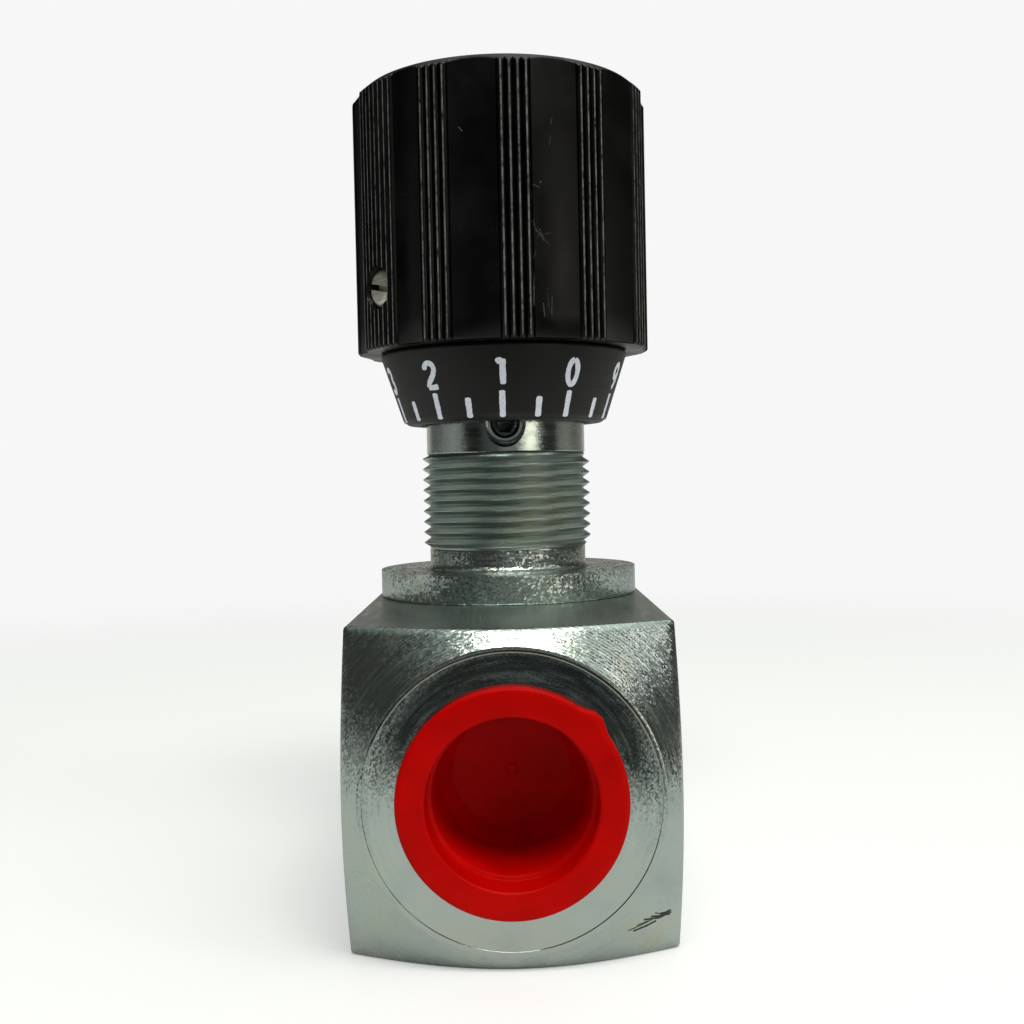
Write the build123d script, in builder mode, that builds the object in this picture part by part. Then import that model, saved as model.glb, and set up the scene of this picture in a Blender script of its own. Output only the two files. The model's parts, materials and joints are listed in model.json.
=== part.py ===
from build123d import *
import math
import os

# In-line flow control valve. Millimetres. The body rests on z = 0, the ports lie
# along Y and the control spindle stands along Z. The dial faces -Y.

# ---- square body ----
body_side = 38.0
body_length = 86.0
body_half = body_length / 2
port_axis_z = body_side / 2
end_face_radius = 17.1        # flat turned face left on each end
end_cone_slope = 0.685        # fall of the turned cone per millimetre of radius
spot_face_radius = 16.6
spot_face_depth = 0.15
port_minor_radius = 10.2      # M22 x 1.5 female thread
port_thread_radius = 11.0
port_pitch = 1.5
port_thread_turns = 9
port_depth = 19.0
port_entry_radius = 11.4

# ---- passages inside the body ----
passage_radius = 4.75
check_seat_y = 9.0
check_bore_radius = 7.0
check_bore_end = body_half - port_depth
cross_passage_radius = 2.2
cross_passage_z = 26.0
orifice_radius = 3.75
seat_z = 24.6
chamber_radius = 7.5
bonnet_bore_radius = 13.0
bonnet_bore_z = 29.0

# ---- bonnet ----
bonnet_gap = 0.05
flange_radius = 18.24
flange_thickness = 3.84
neck_radius = 11.19
panel_thread_radius = 12.0    # M24 x 1.5
panel_root_radius = 11.08
panel_pitch = 1.5
panel_first_crest = 45.3
panel_turns = 9
bonnet_top_radius = 11.35
bonnet_top_z = 75.5
gland_radius = 5.0
gland_start = 44.0
gland_end = 66.0
spindle_nut_radius = 6.08
lock_z = 62.0
lock_pocket_radius = 2.7
lock_pocket_floor = 9.9
lock_radius = 2.0             # M4
lock_inner = 6.9              # inner end of the lock screw, from the spindle axis

# ---- needle and spindle ----
open_lift = 1.1               # the dial stands at one turn and one tenth
seat_clearance = 0.15
needle_radius = 6.4
needle_top = 36.0
needle_tip_radius = 1.0
cone_slope = math.tan(math.radians(30))
socket_radius = 3.3
socket_floor = 30.0
keyway_depth = 1.0
keyway_width = 2.2
swivel_z = 33.0
swivel_pin_radius = 0.5
swivel_offset = 3.1
tenon_radius = 3.2
tenon_groove_radius = 2.5
spindle_radius = 4.95
spindle_shoulder = 36.2
stop_groove_z = 39.0
stop_ring_thickness = 1.2
stop_ring_radius = 6.6
seal_groove_radius = 3.75
seal_groove_z = 50.0
seal_groove_width = 2.4
spindle_thread_start = 67.5
spindle_thread_end = 75.0
spindle_thread_radius = 6.0
spindle_pitch = 1.0
knob_seat_z = 77.0
spindle_top = 100.0
spindle_tip_radius = 5.0

# ---- knob and scale ring ----
knob_bottom = 72.4
knob_top = 108.6
knob_radius = 20.82
knob_flute_radius = 19.95
knob_rim_radius = 19.4
knob_cavity_radius = 12.0
rib_groups = 12
rib_first = 5.5               # degrees from -Y towards +X
rib_step = 3.0
rib_groove_depth = 0.5
rib_groove_half = 0.40
screw_angle = -54.5
screw_z = 80.4
screw_radius = 2.5            # M5
screw_length = 15.4
screw_slot_width = 0.85
hub_radius = 8.5
hub_top = 101.0
fit_gap = 0.03                # radial play of parts that are fixed together
spigot_radius = 15.4
spigot_top = 75.6
scale_bottom = 62.3
scale_edge = 72.0
scale_bottom_radius = 14.6
scale_top_radius = 17.6

# ---- check valve in the rear half ----
poppet_gap = 0.15
poppet_head_radius = 5.9
poppet_nose_radius = 3.0
poppet_back = 13.0
stem_radius = 2.0
stem_end = 22.8
guide_front = 19.5
guide_back = 21.3
spring_wire = 0.4
spring_radius = 4.0
spring_turns = 3.25
ring_groove_y = 21.35         # retaining ring groove, front edge
ring_thickness = 1.0

# ---- transport plugs ----
plug_flange_radius = 12.9
plug_flange_thickness = 1.15
plug_flange_lift = 0.1
plug_shank_radius = 9.95
plug_rib_radius = 10.12
plug_bore_radius = 9.0
plug_mouth_radius = 9.6
plug_floor = 15.6
plug_floor_thickness = 0.9
plug_tab_reach = 0.7


def radial_plane(angle, z):
    """Plane square to a radius of the dial; angle in degrees from -Y towards +X."""
    a = math.radians(angle)
    return Plane(origin=(0, 0, z), x_dir=(math.cos(a), math.sin(a), 0),
                 z_dir=(math.sin(a), -math.cos(a), 0))


os.makedirs("parts", exist_ok=True)
port_axis = Axis((0, 0, port_axis_z), (0, 1, 0))

# ---- valve body: square bar, ends turned to a cone outside the port face ----
with BuildPart() as valve_body:
    with Locations((0, 0, port_axis_z)):
        Box(body_side, body_length, body_side)
    corner = body_side * 0.8
    for side in (-1, 1):
        with BuildSketch(Plane.YZ):
            with BuildLine():
                Polyline(
                    (side * body_half, port_axis_z + end_face_radius),
                    (side * (body_half - end_cone_slope * (corner - end_face_radius)), port_axis_z + corner),
                    (side * (body_half + 1), port_axis_z + corner),
                    (side * (body_half + 1), port_axis_z + end_face_radius),
                    close=True,
                )
            make_face()
        revolve(axis=port_axis, mode=Mode.SUBTRACT)
    # ports with a spot face, an entry chamfer and V-shaped thread rings
    for side in (-1, 1):
        with BuildSketch(Plane.YZ):
            with BuildLine():
                Polyline(
                    (side * (body_half + 1), port_axis_z),
                    (side * (body_half + 1), port_axis_z + spot_face_radius),
                    (side * (body_half - spot_face_depth), port_axis_z + spot_face_radius),
                    (side * (body_half - spot_face_depth), port_axis_z + port_entry_radius),
                    (side * (body_half - spot_face_depth - 1.2), port_axis_z + port_minor_radius),
                    (side * (body_half - port_depth), port_axis_z + port_minor_radius),
                    (side * (body_half - port_depth), port_axis_z),
                    close=True,
                )
            make_face()
        revolve(axis=port_axis, mode=Mode.SUBTRACT)
        with BuildSketch(Plane.YZ):
            for turn in range(port_thread_turns):
                y = body_half - 2.2 - turn * port_pitch
                with BuildLine():
                    Polyline(
                        (side * (y + 0.62), port_axis_z + port_minor_radius - 0.1),
                        (side * (y + 0.1), port_axis_z + port_thread_radius),
                        (side * (y - 0.1), port_axis_z + port_thread_radius),
                        (side * (y - 0.62), port_axis_z + port_minor_radius - 0.1),
                        close=True,
                    )
                make_face()
        revolve(axis=port_axis, mode=Mode.SUBTRACT)
    # straight passage from the front port to the check seat
    with BuildSketch(Plane.XZ.offset(-check_seat_y)):
        with Locations((0, port_axis_z)):
            Circle(passage_radius)
    extrude(amount=check_seat_y + check_bore_end, mode=Mode.SUBTRACT)
    # check bore with its retaining ring groove
    with BuildSketch(Plane.XZ.offset(-check_bore_end)):
        with Locations((0, port_axis_z)):
            Circle(check_bore_radius)
    extrude(amount=check_bore_end - check_seat_y, mode=Mode.SUBTRACT)
    with BuildSketch(Plane.XZ.offset(-ring_groove_y - ring_thickness - 0.1)):
        with Locations((0, port_axis_z)):
            Circle(check_bore_radius + 0.42)
    extrude(amount=ring_thickness + 0.1, mode=Mode.SUBTRACT)
    # upper cross passage from the needle chamber to the rear port
    with BuildSketch(Plane.XZ.offset(-check_bore_end)):
        with Locations((0, cross_passage_z)):
            Circle(cross_passage_radius)
    extrude(amount=check_bore_end, mode=Mode.SUBTRACT)
    # throttle orifice, needle chamber and bonnet thread bore
    with BuildSketch(Plane.XY.offset(port_axis_z)):
        Circle(orifice_radius)
    extrude(amount=seat_z - port_axis_z, mode=Mode.SUBTRACT)
    with BuildSketch(Plane.XY.offset(seat_z)):
        Circle(chamber_radius)
    extrude(amount=bonnet_bore_z - seat_z, mode=Mode.SUBTRACT)
    with BuildSketch(Plane.XY.offset(bonnet_bore_z)):
        Circle(bonnet_bore_radius)
    extrude(amount=body_side - bonnet_bore_z, mode=Mode.SUBTRACT)
valve_body.part.label = "valve_body"
export_step(valve_body.part, "parts/valve_body.step")

# ---- bonnet: screwed shank, round flange, undercut, panel thread, plain top ----
flange_top = body_side + flange_thickness
outline = [
    (0, bonnet_bore_z + 0.2),
    (bonnet_bore_radius - bonnet_gap - 0.6, bonnet_bore_z + 0.2),
    (bonnet_bore_radius - bonnet_gap, bonnet_bore_z + 0.8),
    (bonnet_bore_radius - bonnet_gap, body_side - 1.8),
    (11.0, body_side - 1.8),
    (11.0, body_side),
    (flange_radius - 0.25, body_side),
    (flange_radius, body_side + 0.25),
    (flange_radius, flange_top - 0.3),
    (flange_radius - 0.3, flange_top),
    (neck_radius, flange_top),
    (neck_radius, panel_first_crest - 0.68),
]
for turn in range(panel_turns):
    crest = panel_first_crest + turn * panel_pitch
    outline.append((panel_root_radius, crest - 0.62))
    outline.append((panel_thread_radius, crest - 0.1))
    outline.append((panel_thread_radius, crest + 0.1))
    if turn < panel_turns - 1:
        outline.append((panel_root_radius, crest + 0.62))
last_crest = panel_first_crest + (panel_turns - 1) * panel_pitch
outline.append((bonnet_top_radius, last_crest + 0.5))
outline.append((bonnet_top_radius, bonnet_top_z - 0.6))
outline.append((bonnet_top_radius - 0.6, bonnet_top_z))
outline.append((0, bonnet_top_z))
with BuildPart() as bonnet:
    with BuildSketch(Plane.XZ):
        with BuildLine():
            Polyline(*outline, close=True)
        make_face()
    revolve(axis=Axis.Z)
    with BuildSketch(Plane.XY.offset(bonnet_bore_z)):
        Circle(chamber_radius)
    extrude(amount=gland_start - bonnet_bore_z, mode=Mode.SUBTRACT)
    with BuildSketch(Plane.XY.offset(gland_start)):
        Circle(gland_radius)
    extrude(amount=gland_end - gland_start, mode=Mode.SUBTRACT)
    with BuildSketch(Plane.XY.offset(gland_end)):
        Circle(spindle_nut_radius)
    extrude(amount=bonnet_top_z - gland_end, mode=Mode.SUBTRACT)
    # lock screw hole with its pocket, square to the dial front
    with BuildSketch(radial_plane(0, lock_z)):
        Circle(lock_radius)
    extrude(amount=flange_radius, mode=Mode.SUBTRACT)
    with BuildSketch(radial_plane(0, lock_z).offset(lock_pocket_floor)):
        Circle(lock_pocket_radius)
    extrude(amount=4, mode=Mode.SUBTRACT)
    # cross hole for the needle guide pin
    with BuildSketch(radial_plane(90, swivel_z).offset(needle_radius)):
        Circle(1.0)
    extrude(amount=bonnet_bore_radius, mode=Mode.SUBTRACT)
bonnet.part.label = "bonnet"
export_step(bonnet.part, "parts/bonnet.step")

# ---- sealing ring under the bonnet flange ----
with BuildPart() as bonnet_o_ring:
    with BuildSketch(Plane.XZ):
        with Locations((11.95, body_side - 0.93)):
            Circle(0.87)
    revolve(axis=Axis.Z)
bonnet_o_ring.part.label = "bonnet_o_ring"
export_step(bonnet_o_ring.part, "parts/bonnet_o_ring.step")

# ---- guide pin that keeps the needle from turning ----
with BuildPart() as needle_guide_pin:
    with BuildSketch(radial_plane(90, swivel_z).offset(needle_radius - keyway_depth + 0.25)):
        Circle(1.0)
    extrude(amount=6.6)
    chamfer(needle_guide_pin.edges(), length=0.15)
needle_guide_pin.part.label = "needle_guide_pin"
export_step(needle_guide_pin.part, "parts/needle_guide_pin.step")

# ---- hexagon socket lock screw and its brass pad ----
with BuildPart() as lock_screw:
    with BuildSketch(radial_plane(0, lock_z).offset(lock_inner)):
        Circle(lock_radius)
    extrude(amount=lock_pocket_floor - lock_inner)
    chamfer(lock_screw.edges().group_by(Axis.Y)[0], length=0.4)
    with BuildSketch(radial_plane(0, lock_z).offset(lock_pocket_floor)):
        RegularPolygon(1.0, 6, major_radius=False)
    extrude(amount=-1.8, mode=Mode.SUBTRACT)
lock_screw.part.label = "lock_screw"
export_step(lock_screw.part, "parts/lock_screw.step")

with BuildPart() as lock_pad:
    with BuildSketch(radial_plane(0, lock_z).offset(gland_radius + 0.04)):
        Circle(lock_radius - 0.05)
    extrude(amount=lock_inner - gland_radius - 0.04)
lock_pad.part.label = "lock_pad"
export_step(lock_pad.part, "parts/lock_pad.step")

# ---- throttle needle ----
cone_start = seat_z + open_lift + seat_clearance
with BuildPart() as throttle_needle:
    with BuildSketch(Plane.XZ):
        with BuildLine():
            Polyline(
                (0, cone_start - (orifice_radius - needle_tip_radius) / cone_slope),
                (needle_tip_radius, cone_start - (orifice_radius - needle_tip_radius) / cone_slope),
                (5.5, cone_start + (5.5 - orifice_radius) / cone_slope),
                (needle_radius, cone_start + (5.5 - orifice_radius) / cone_slope),
                (needle_radius, needle_top),
                (socket_radius, needle_top),
                (socket_radius, socket_floor),
                (0, socket_floor),
                close=True,
            )
        make_face()
    revolve(axis=Axis.Z)
    # keyway for the guide pin
    with BuildSketch(Plane.XY.offset(cone_start)):
        with Locations((needle_radius, 0)):
            Rectangle(2 * keyway_depth, keyway_width)
    extrude(amount=needle_top - cone_start, mode=Mode.SUBTRACT)
    # holes for the two tangent swivel pins
    with BuildSketch(Plane.XZ.offset(-needle_radius)):
        with Locations((-swivel_offset, swivel_z), (swivel_offset, swivel_z)):
            Circle(swivel_pin_radius)
    extrude(amount=2 * needle_radius, mode=Mode.SUBTRACT)
throttle_needle.part.label = "throttle_needle"
export_step(throttle_needle.part, "parts/throttle_needle.step")

with BuildPart() as swivel_pins:
    with BuildSketch(Plane.XZ.offset(-5.4)):
        with Locations((-swivel_offset, swivel_z), (swivel_offset, swivel_z)):
            Circle(swivel_pin_radius)
    extrude(amount=10.8)
swivel_pins.part.label = "swivel_pins"
export_step(swivel_pins.part, "parts/swivel_pins.step")

# ---- spindle: swivel tenon, sealed shank, control thread, knob seat ----
stem = [
    (0, socket_floor + 0.1),
    (tenon_radius - 0.3, socket_floor + 0.1),
    (tenon_radius, socket_floor + 0.4),
    (tenon_radius, swivel_z - 0.62),
    (tenon_groove_radius, swivel_z - 0.62),
    (tenon_groove_radius, swivel_z + 0.62),
    (tenon_radius, swivel_z + 0.62),
    (tenon_radius, spindle_shoulder),
    (spindle_radius, spindle_shoulder),
    (spindle_radius, stop_groove_z),
    (4.2, stop_groove_z),
    (4.2, stop_groove_z + stop_ring_thickness),
    (spindle_radius, stop_groove_z + stop_ring_thickness),
    (spindle_radius, seal_groove_z),
    (seal_groove_radius, seal_groove_z),
    (seal_groove_radius, seal_groove_z + seal_groove_width),
    (spindle_radius, seal_groove_z + seal_groove_width),
    (spindle_radius, spindle_thread_start),
]
turns = round((spindle_thread_end - spindle_thread_start) / spindle_pitch)
for turn in range(turns):
    z = spindle_thread_start + (turn + 0.5) * spindle_pitch
    stem.append((spindle_thread_radius - 0.6, z - 0.42))
    stem.append((spindle_thread_radius, z - 0.08))
    stem.append((spindle_thread_radius, z + 0.08))
    stem.append((spindle_thread_radius - 0.6, z + 0.42))
stem.append((spindle_thread_radius - 0.6, spindle_thread_end + 0.4))
stem.append((spindle_thread_radius, spindle_thread_end + 0.8))
stem.append((spindle_thread_radius, knob_seat_z))
stem.append((spindle_tip_radius, knob_seat_z))
stem.append((spindle_tip_radius, spindle_top - 0.5))
stem.append((spindle_tip_radius - 0.5, spindle_top))
stem.append((0, spindle_top))
with BuildPart() as spindle:
    with BuildSketch(Plane.XZ):
        with BuildLine():
            Polyline(*stem, close=True)
        make_face()
    revolve(axis=Axis.Z)
spindle.part.label = "spindle"
export_step(spindle.part, "parts/spindle.step")

with BuildPart() as spindle_o_ring:
    with BuildSketch(Plane.XZ):
        with Locations((4.36, seal_groove_z + 0.65)):
            Circle(0.6)
    revolve(axis=Axis.Z)
spindle_o_ring.part.label = "spindle_o_ring"
export_step(spindle_o_ring.part, "parts/spindle_o_ring.step")

with BuildPart() as spindle_backup_ring:
    with BuildSketch(Plane.XY.offset(seal_groove_z + 1.4)):
        Circle(spindle_radius)
        Circle(seal_groove_radius + 0.02, mode=Mode.SUBTRACT)
    extrude(amount=0.9)
spindle_backup_ring.part.label = "spindle_backup_ring"
export_step(spindle_backup_ring.part, "parts/spindle_backup_ring.step")

# ---- ring that stops the spindle at full opening ----
with BuildPart() as stop_ring:
    with BuildSketch(Plane.XY.offset(stop_groove_z + 0.05)):
        Circle(stop_ring_radius)
        Circle(4.22, mode=Mode.SUBTRACT)
        with Locations((5.4, 0)):
            Rectangle(4, 2.4, mode=Mode.SUBTRACT)
    extrude(amount=stop_ring_thickness - 0.1)
stop_ring.part.label = "stop_ring"
export_step(stop_ring.part, "parts/stop_ring.step")

# ---- brass hub moulded into the knob ----
with BuildPart() as knob_hub:
    with BuildSketch(Plane.XY.offset(knob_seat_z)):
        Circle(hub_radius)
    extrude(amount=hub_top - knob_seat_z)
    with BuildSketch(Plane.XY.offset(knob_seat_z)):
        Circle(spindle_tip_radius + fit_gap)
    extrude(amount=spindle_top + 0.2 - knob_seat_z, mode=Mode.SUBTRACT)
    with BuildSketch(radial_plane(screw_angle, screw_z)):
        Circle(screw_radius + fit_gap)
    extrude(amount=hub_radius + 1, mode=Mode.SUBTRACT)
knob_hub.part.label = "knob_hub"
export_step(knob_hub.part, "parts/knob_hub.step")

# ---- knob: groups of fine ridges with shallow finger hollows between them ----
group_pitch = 360 / rib_groups
group_half = 2 * rib_step + 0.5           # half the angle of a group of four ridges
screw_group_half = 4 * rib_step - 0.75    # and of the wide group round the set screw
with BuildPart() as knob_grip:
    with BuildSketch(Plane.XY.offset(knob_bottom)):
        Circle(knob_radius)
        for group in range(rib_groups):
            middle = rib_first + group * group_pitch
            beside_screw = abs((middle - screw_angle + 180) % 360 - 180) < 1
            # grooves between the ridges
            reach = 3 if beside_screw else 1
            for step in range(-reach, reach + 1):
                angle = middle + step * rib_step - 90
                with PolarLocations(knob_radius, 1, start_angle=angle):
                    Polygon(
                        (-rib_groove_depth, 0),
                        (0.2, rib_groove_half * 1.3),
                        (0.2, -rib_groove_half * 1.3),
                        align=None,
                        mode=Mode.SUBTRACT,
                    )
            # hollow between this group and the next one
            left = middle + (screw_group_half if beside_screw else group_half)
            following = middle + group_pitch
            next_screw = abs((following - screw_angle + 180) % 360 - 180) < 1
            right = following - (screw_group_half if next_screw else group_half)
            half = math.radians((right - left) / 2)
            chord = knob_radius * math.sin(half)
            sag = knob_radius * math.cos(half) - knob_flute_radius
            hollow = (chord ** 2 + sag ** 2) / (2 * sag)
            with PolarLocations(knob_flute_radius + hollow, 1, start_angle=(left + right) / 2 - 90):
                Circle(hollow, mode=Mode.SUBTRACT)
    extrude(amount=knob_top - knob_bottom)
    # bevelled rim, spigot seat, skirt cavity, hub seat and set screw hole
    bevel = (knob_radius - knob_rim_radius) / 1.2
    with BuildSketch(Plane.XZ):
        with BuildLine():
            Polyline(
                (knob_rim_radius, knob_top + 0.01),
                (knob_rim_radius + 3 * bevel, knob_top + 0.01),
                (knob_rim_radius + 3 * bevel, knob_top - 3.0),
                close=True,
            )
        make_face()
    revolve(axis=Axis.Z, mode=Mode.SUBTRACT)
    with BuildSketch(Plane.XY.offset(knob_bottom)):
        Circle(spigot_radius + 0.05)
    extrude(amount=spigot_top + 0.05 - knob_bottom, mode=Mode.SUBTRACT)
    with BuildSketch(Plane.XY.offset(knob_bottom)):
        Circle(knob_cavity_radius)
    extrude(amount=knob_seat_z - knob_bottom, mode=Mode.SUBTRACT)
    with BuildSketch(Plane.XY.offset(knob_seat_z - 0.1)):
        Circle(hub_radius + fit_gap)
    extrude(amount=hub_top - knob_seat_z + 0.1, mode=Mode.SUBTRACT)
    with BuildSketch(radial_plane(screw_angle, screw_z)):
        Circle(screw_radius + fit_gap)
    extrude(amount=knob_radius + 1, mode=Mode.SUBTRACT)
    # shallow dish in the top face
    with BuildSketch(Plane.XY.offset(knob_top - 0.8)):
        Circle(knob_rim_radius - 2.2)
    extrude(amount=2, mode=Mode.SUBTRACT)
knob_grip.part.label = "knob_grip"
export_step(knob_grip.part, "parts/knob_grip.step")

# ---- scale ring under the knob ----
with BuildPart() as scale_ring:
    with BuildSketch(Plane.XZ):
        with BuildLine():
            Polyline(
                (knob_cavity_radius, scale_bottom),
                (scale_bottom_radius - 0.7, scale_bottom),
                (scale_bottom_radius, scale_bottom + 0.6),
                (scale_top_radius, scale_edge),
                (scale_top_radius - 0.3, knob_bottom),
                (spigot_radius, knob_bottom),
                (spigot_radius, spigot_top),
                (knob_cavity_radius, spigot_top),
                close=True,
            )
        make_face()
    revolve(axis=Axis.Z)
scale_ring.part.label = "scale_ring"
export_step(scale_ring.part, "parts/scale_ring.step")

# ---- slotted set screw ----
with BuildPart() as knob_set_screw:
    with BuildSketch(radial_plane(screw_angle, screw_z).offset(spindle_tip_radius + fit_gap)):
        Circle(screw_radius)
    extrude(amount=screw_length - fit_gap)
    outer_edge = knob_set_screw.edges().sort_by_distance((0, 0, screw_z))[-1]
    chamfer(outer_edge, length=0.35)
    with BuildSketch(radial_plane(screw_angle, screw_z).offset(spindle_tip_radius + screw_length)):
        Rectangle(2.5 * screw_radius, screw_slot_width, rotation=12)
    extrude(amount=-1.4, mode=Mode.SUBTRACT)
knob_set_screw.part.label = "knob_set_screw"
export_step(knob_set_screw.part, "parts/knob_set_screw.step")

# ---- check poppet, its spring, guide and retaining ring ----
with BuildPart() as check_poppet:
    with BuildSketch(Plane.YZ):
        seat_start = check_seat_y + poppet_gap
        with BuildLine():
            Polyline(
                (seat_start - (passage_radius - poppet_nose_radius), port_axis_z),
                (seat_start - (passage_radius - poppet_nose_radius), port_axis_z + poppet_nose_radius),
                (seat_start + (poppet_head_radius - passage_radius), port_axis_z + poppet_head_radius),
                (poppet_back, port_axis_z + poppet_head_radius),
                (poppet_back, port_axis_z + stem_radius),
                (stem_end - 0.4, port_axis_z + stem_radius),
                (stem_end, port_axis_z + stem_radius - 0.4),
                (stem_end, port_axis_z),
                close=True,
            )
        make_face()
    revolve(axis=port_axis)
check_poppet.part.label = "check_poppet"
export_step(check_poppet.part, "parts/check_poppet.step")

spring_start = poppet_back + 0.1 + spring_wire
spring_height = guide_front - 0.1 - spring_wire - spring_start
with BuildPart() as check_spring:
    with BuildLine() as coil:
        Helix(
            pitch=spring_height / spring_turns,
            height=spring_height,
            radius=spring_radius,
            center=(0, spring_start, port_axis_z),
            direction=(0, 1, 0),
        )
    with BuildSketch(Plane(origin=coil.line @ 0, z_dir=coil.line % 0)):
        Circle(spring_wire)
    sweep()
check_spring.part.label = "check_spring"
export_step(check_spring.part, "parts/check_spring.step")

with BuildPart() as spring_guide:
    with BuildSketch(Plane.XZ.offset(-guide_back)):
        with Locations((0, port_axis_z)):
            Circle(check_bore_radius - 0.05)
            Circle(stem_radius + 0.06, mode=Mode.SUBTRACT)
            with PolarLocations(4.7, 6):
                Circle(1.25, mode=Mode.SUBTRACT)
    extrude(amount=guide_back - guide_front)
spring_guide.part.label = "spring_guide"
export_step(spring_guide.part, "parts/spring_guide.step")

with BuildPart() as retaining_ring:
    with BuildSketch(Plane.XZ.offset(-ring_groove_y - ring_thickness - 0.05)):
        with Locations((0, port_axis_z)):
            Circle(check_bore_radius + 0.35)
            Circle(6.0, mode=Mode.SUBTRACT)
            with Locations((0, -6.5)):
                Rectangle(3.4, 3, mode=Mode.SUBTRACT)
    extrude(amount=ring_thickness)
retaining_ring.part.label = "retaining_ring"
export_step(retaining_ring.part, "parts/retaining_ring.step")

# ---- transport plugs: thin flanged cups with a pull tab on the flange ----
for name, side in (("port_plug_front", -1), ("port_plug_rear", 1)):
    seat = body_half - spot_face_depth + plug_flange_lift
    face = seat + plug_flange_thickness
    floor = body_half - plug_floor
    cup = [
        (side * (floor - plug_floor_thickness), port_axis_z),
        (side * (floor - plug_floor_thickness), port_axis_z + plug_shank_radius - 0.9),
        (side * (floor - plug_floor_thickness + 1.5), port_axis_z + plug_shank_radius),
    ]
    for ring in (31.0, 34.5, 38.0):
        cup.append((side * ring, port_axis_z + plug_shank_radius))
        cup.append((side * (ring + 0.3), port_axis_z + plug_rib_radius))
        cup.append((side * (ring + 0.6), port_axis_z + plug_rib_radius))
        cup.append((side * (ring + 0.9), port_axis_z + plug_shank_radius))
    cup.append((side * seat, port_axis_z + plug_shank_radius))
    cup.append((side * seat, port_axis_z + plug_flange_radius))
    cup.append((side * (face - 0.35), port_axis_z + plug_flange_radius))
    cup.append((side * (face - 0.1), port_axis_z + plug_flange_radius - 0.12))
    cup.append((side * face, port_axis_z + plug_flange_radius - 0.4))
    cup.append((side * face, port_axis_z + plug_mouth_radius + 0.1))
    cup.append((side * (face - 0.2), port_axis_z + plug_mouth_radius - 0.2))
    cup.append((side * (face - 1.0), port_axis_z + plug_bore_radius + 0.2))
    cup.append((side * (face - 3.9), port_axis_z + plug_bore_radius + 0.1))
    cup.append((side * (face - 4.1), port_axis_z + plug_bore_radius - 0.1))
    cup.append((side * floor, port_axis_z + plug_bore_radius - 0.15))
    cup.append((side * floor, port_axis_z))
    with BuildPart() as port_plug:
        with BuildSketch(Plane.YZ):
            with BuildLine():
                Polyline(*cup, close=True)
            make_face()
        revolve(axis=port_axis)
        # pull tab at the upper right of the flange
        tab = plug_flange_radius / math.sqrt(2)
        tip = (plug_flange_radius + plug_tab_reach) / math.sqrt(2)
        with BuildSketch(Plane.XZ.offset(seat if side < 0 else -face + 0.15)):
            with BuildLine():
                Polyline(
                    (-side * (tab - 2.2), port_axis_z + tab + 1.6),
                    (-side * (tip - 0.25), port_axis_z + tip + 0.25),
                    (-side * (tip + 0.25), port_axis_z + tip - 0.25),
                    (-side * (tab + 1.6), port_axis_z + tab - 2.2),
                    (-side * (tab - 2.0), port_axis_z + tab - 2.0),
                    close=True,
                )
            make_face()
        extrude(amount=plug_flange_thickness - 0.15)
    port_plug.part.label = name
    export_step(port_plug.part, "parts/" + name + ".step")
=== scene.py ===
# %% [markdown]
# # An in-line flow control valve
# The valve is a square bar of zinc-plated steel with a port in each end. A threaded bonnet
# stands on top, and a black knob with a numbered collar turns the spindle inside it.
# The measured parts come in as a fixed frame. Every piece modelled here is put where
# that frame says, so nothing has to be fitted by eye.

# %% Load the measured parts
import json
import math

import bmesh
import bpy
import numpy as np
from mathutils import Matrix, Vector

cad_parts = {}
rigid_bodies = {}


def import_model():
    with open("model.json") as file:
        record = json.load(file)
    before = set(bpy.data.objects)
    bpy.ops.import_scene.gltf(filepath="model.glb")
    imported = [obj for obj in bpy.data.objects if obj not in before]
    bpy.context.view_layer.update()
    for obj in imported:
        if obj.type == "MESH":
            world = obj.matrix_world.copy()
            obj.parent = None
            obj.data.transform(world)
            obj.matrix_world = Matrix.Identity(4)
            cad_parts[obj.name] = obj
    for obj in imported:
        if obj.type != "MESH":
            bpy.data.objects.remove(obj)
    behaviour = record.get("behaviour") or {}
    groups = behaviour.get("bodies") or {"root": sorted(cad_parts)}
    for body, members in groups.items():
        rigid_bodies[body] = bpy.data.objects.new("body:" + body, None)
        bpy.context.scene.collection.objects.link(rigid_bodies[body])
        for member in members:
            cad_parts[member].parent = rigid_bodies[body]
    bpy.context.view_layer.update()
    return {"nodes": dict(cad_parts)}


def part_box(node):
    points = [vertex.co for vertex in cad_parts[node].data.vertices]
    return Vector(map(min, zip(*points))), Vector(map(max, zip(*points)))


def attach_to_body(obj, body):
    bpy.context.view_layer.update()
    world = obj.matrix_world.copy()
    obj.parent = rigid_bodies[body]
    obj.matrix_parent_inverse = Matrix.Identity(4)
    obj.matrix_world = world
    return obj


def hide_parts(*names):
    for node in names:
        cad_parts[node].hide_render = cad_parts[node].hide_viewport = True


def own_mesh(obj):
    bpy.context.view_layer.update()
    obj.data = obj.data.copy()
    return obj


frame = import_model()

# %% [markdown]
# ## Sizes
# Lengths that the frame can tell are read from it. The few that it cannot tell, such as the
# depth of a chamfer, are written in millimetres and turned to metres with one factor.

# %% Sizes read from the frame
MM = 0.001
body_low, body_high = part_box("valve_body")
bonnet_low, bonnet_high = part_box("bonnet")
knob_low, knob_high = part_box("knob_grip")
collar_low, collar_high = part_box("scale_ring")
plug_low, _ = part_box("port_plug_front")

body_half = body_high.y
body_wide = body_high.x
port_height = (body_low.z + body_high.z) / 2
knob_radius = knob_high.x
print("bar", round(body_wide * 2000, 2), "mm square, knob", round(knob_radius * 2000, 2), "mm across")

# %% [markdown]
# ## Camera
# A camera stands about 17 cm in front of the spindle, level with the thread, and tips down a
# little. It also leans by about a degree, as a camera held in the hand does.
# The standard view transform keeps the red of the plug and the black of the knob as strong
# as they are; a filmic one would soften both.

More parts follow.
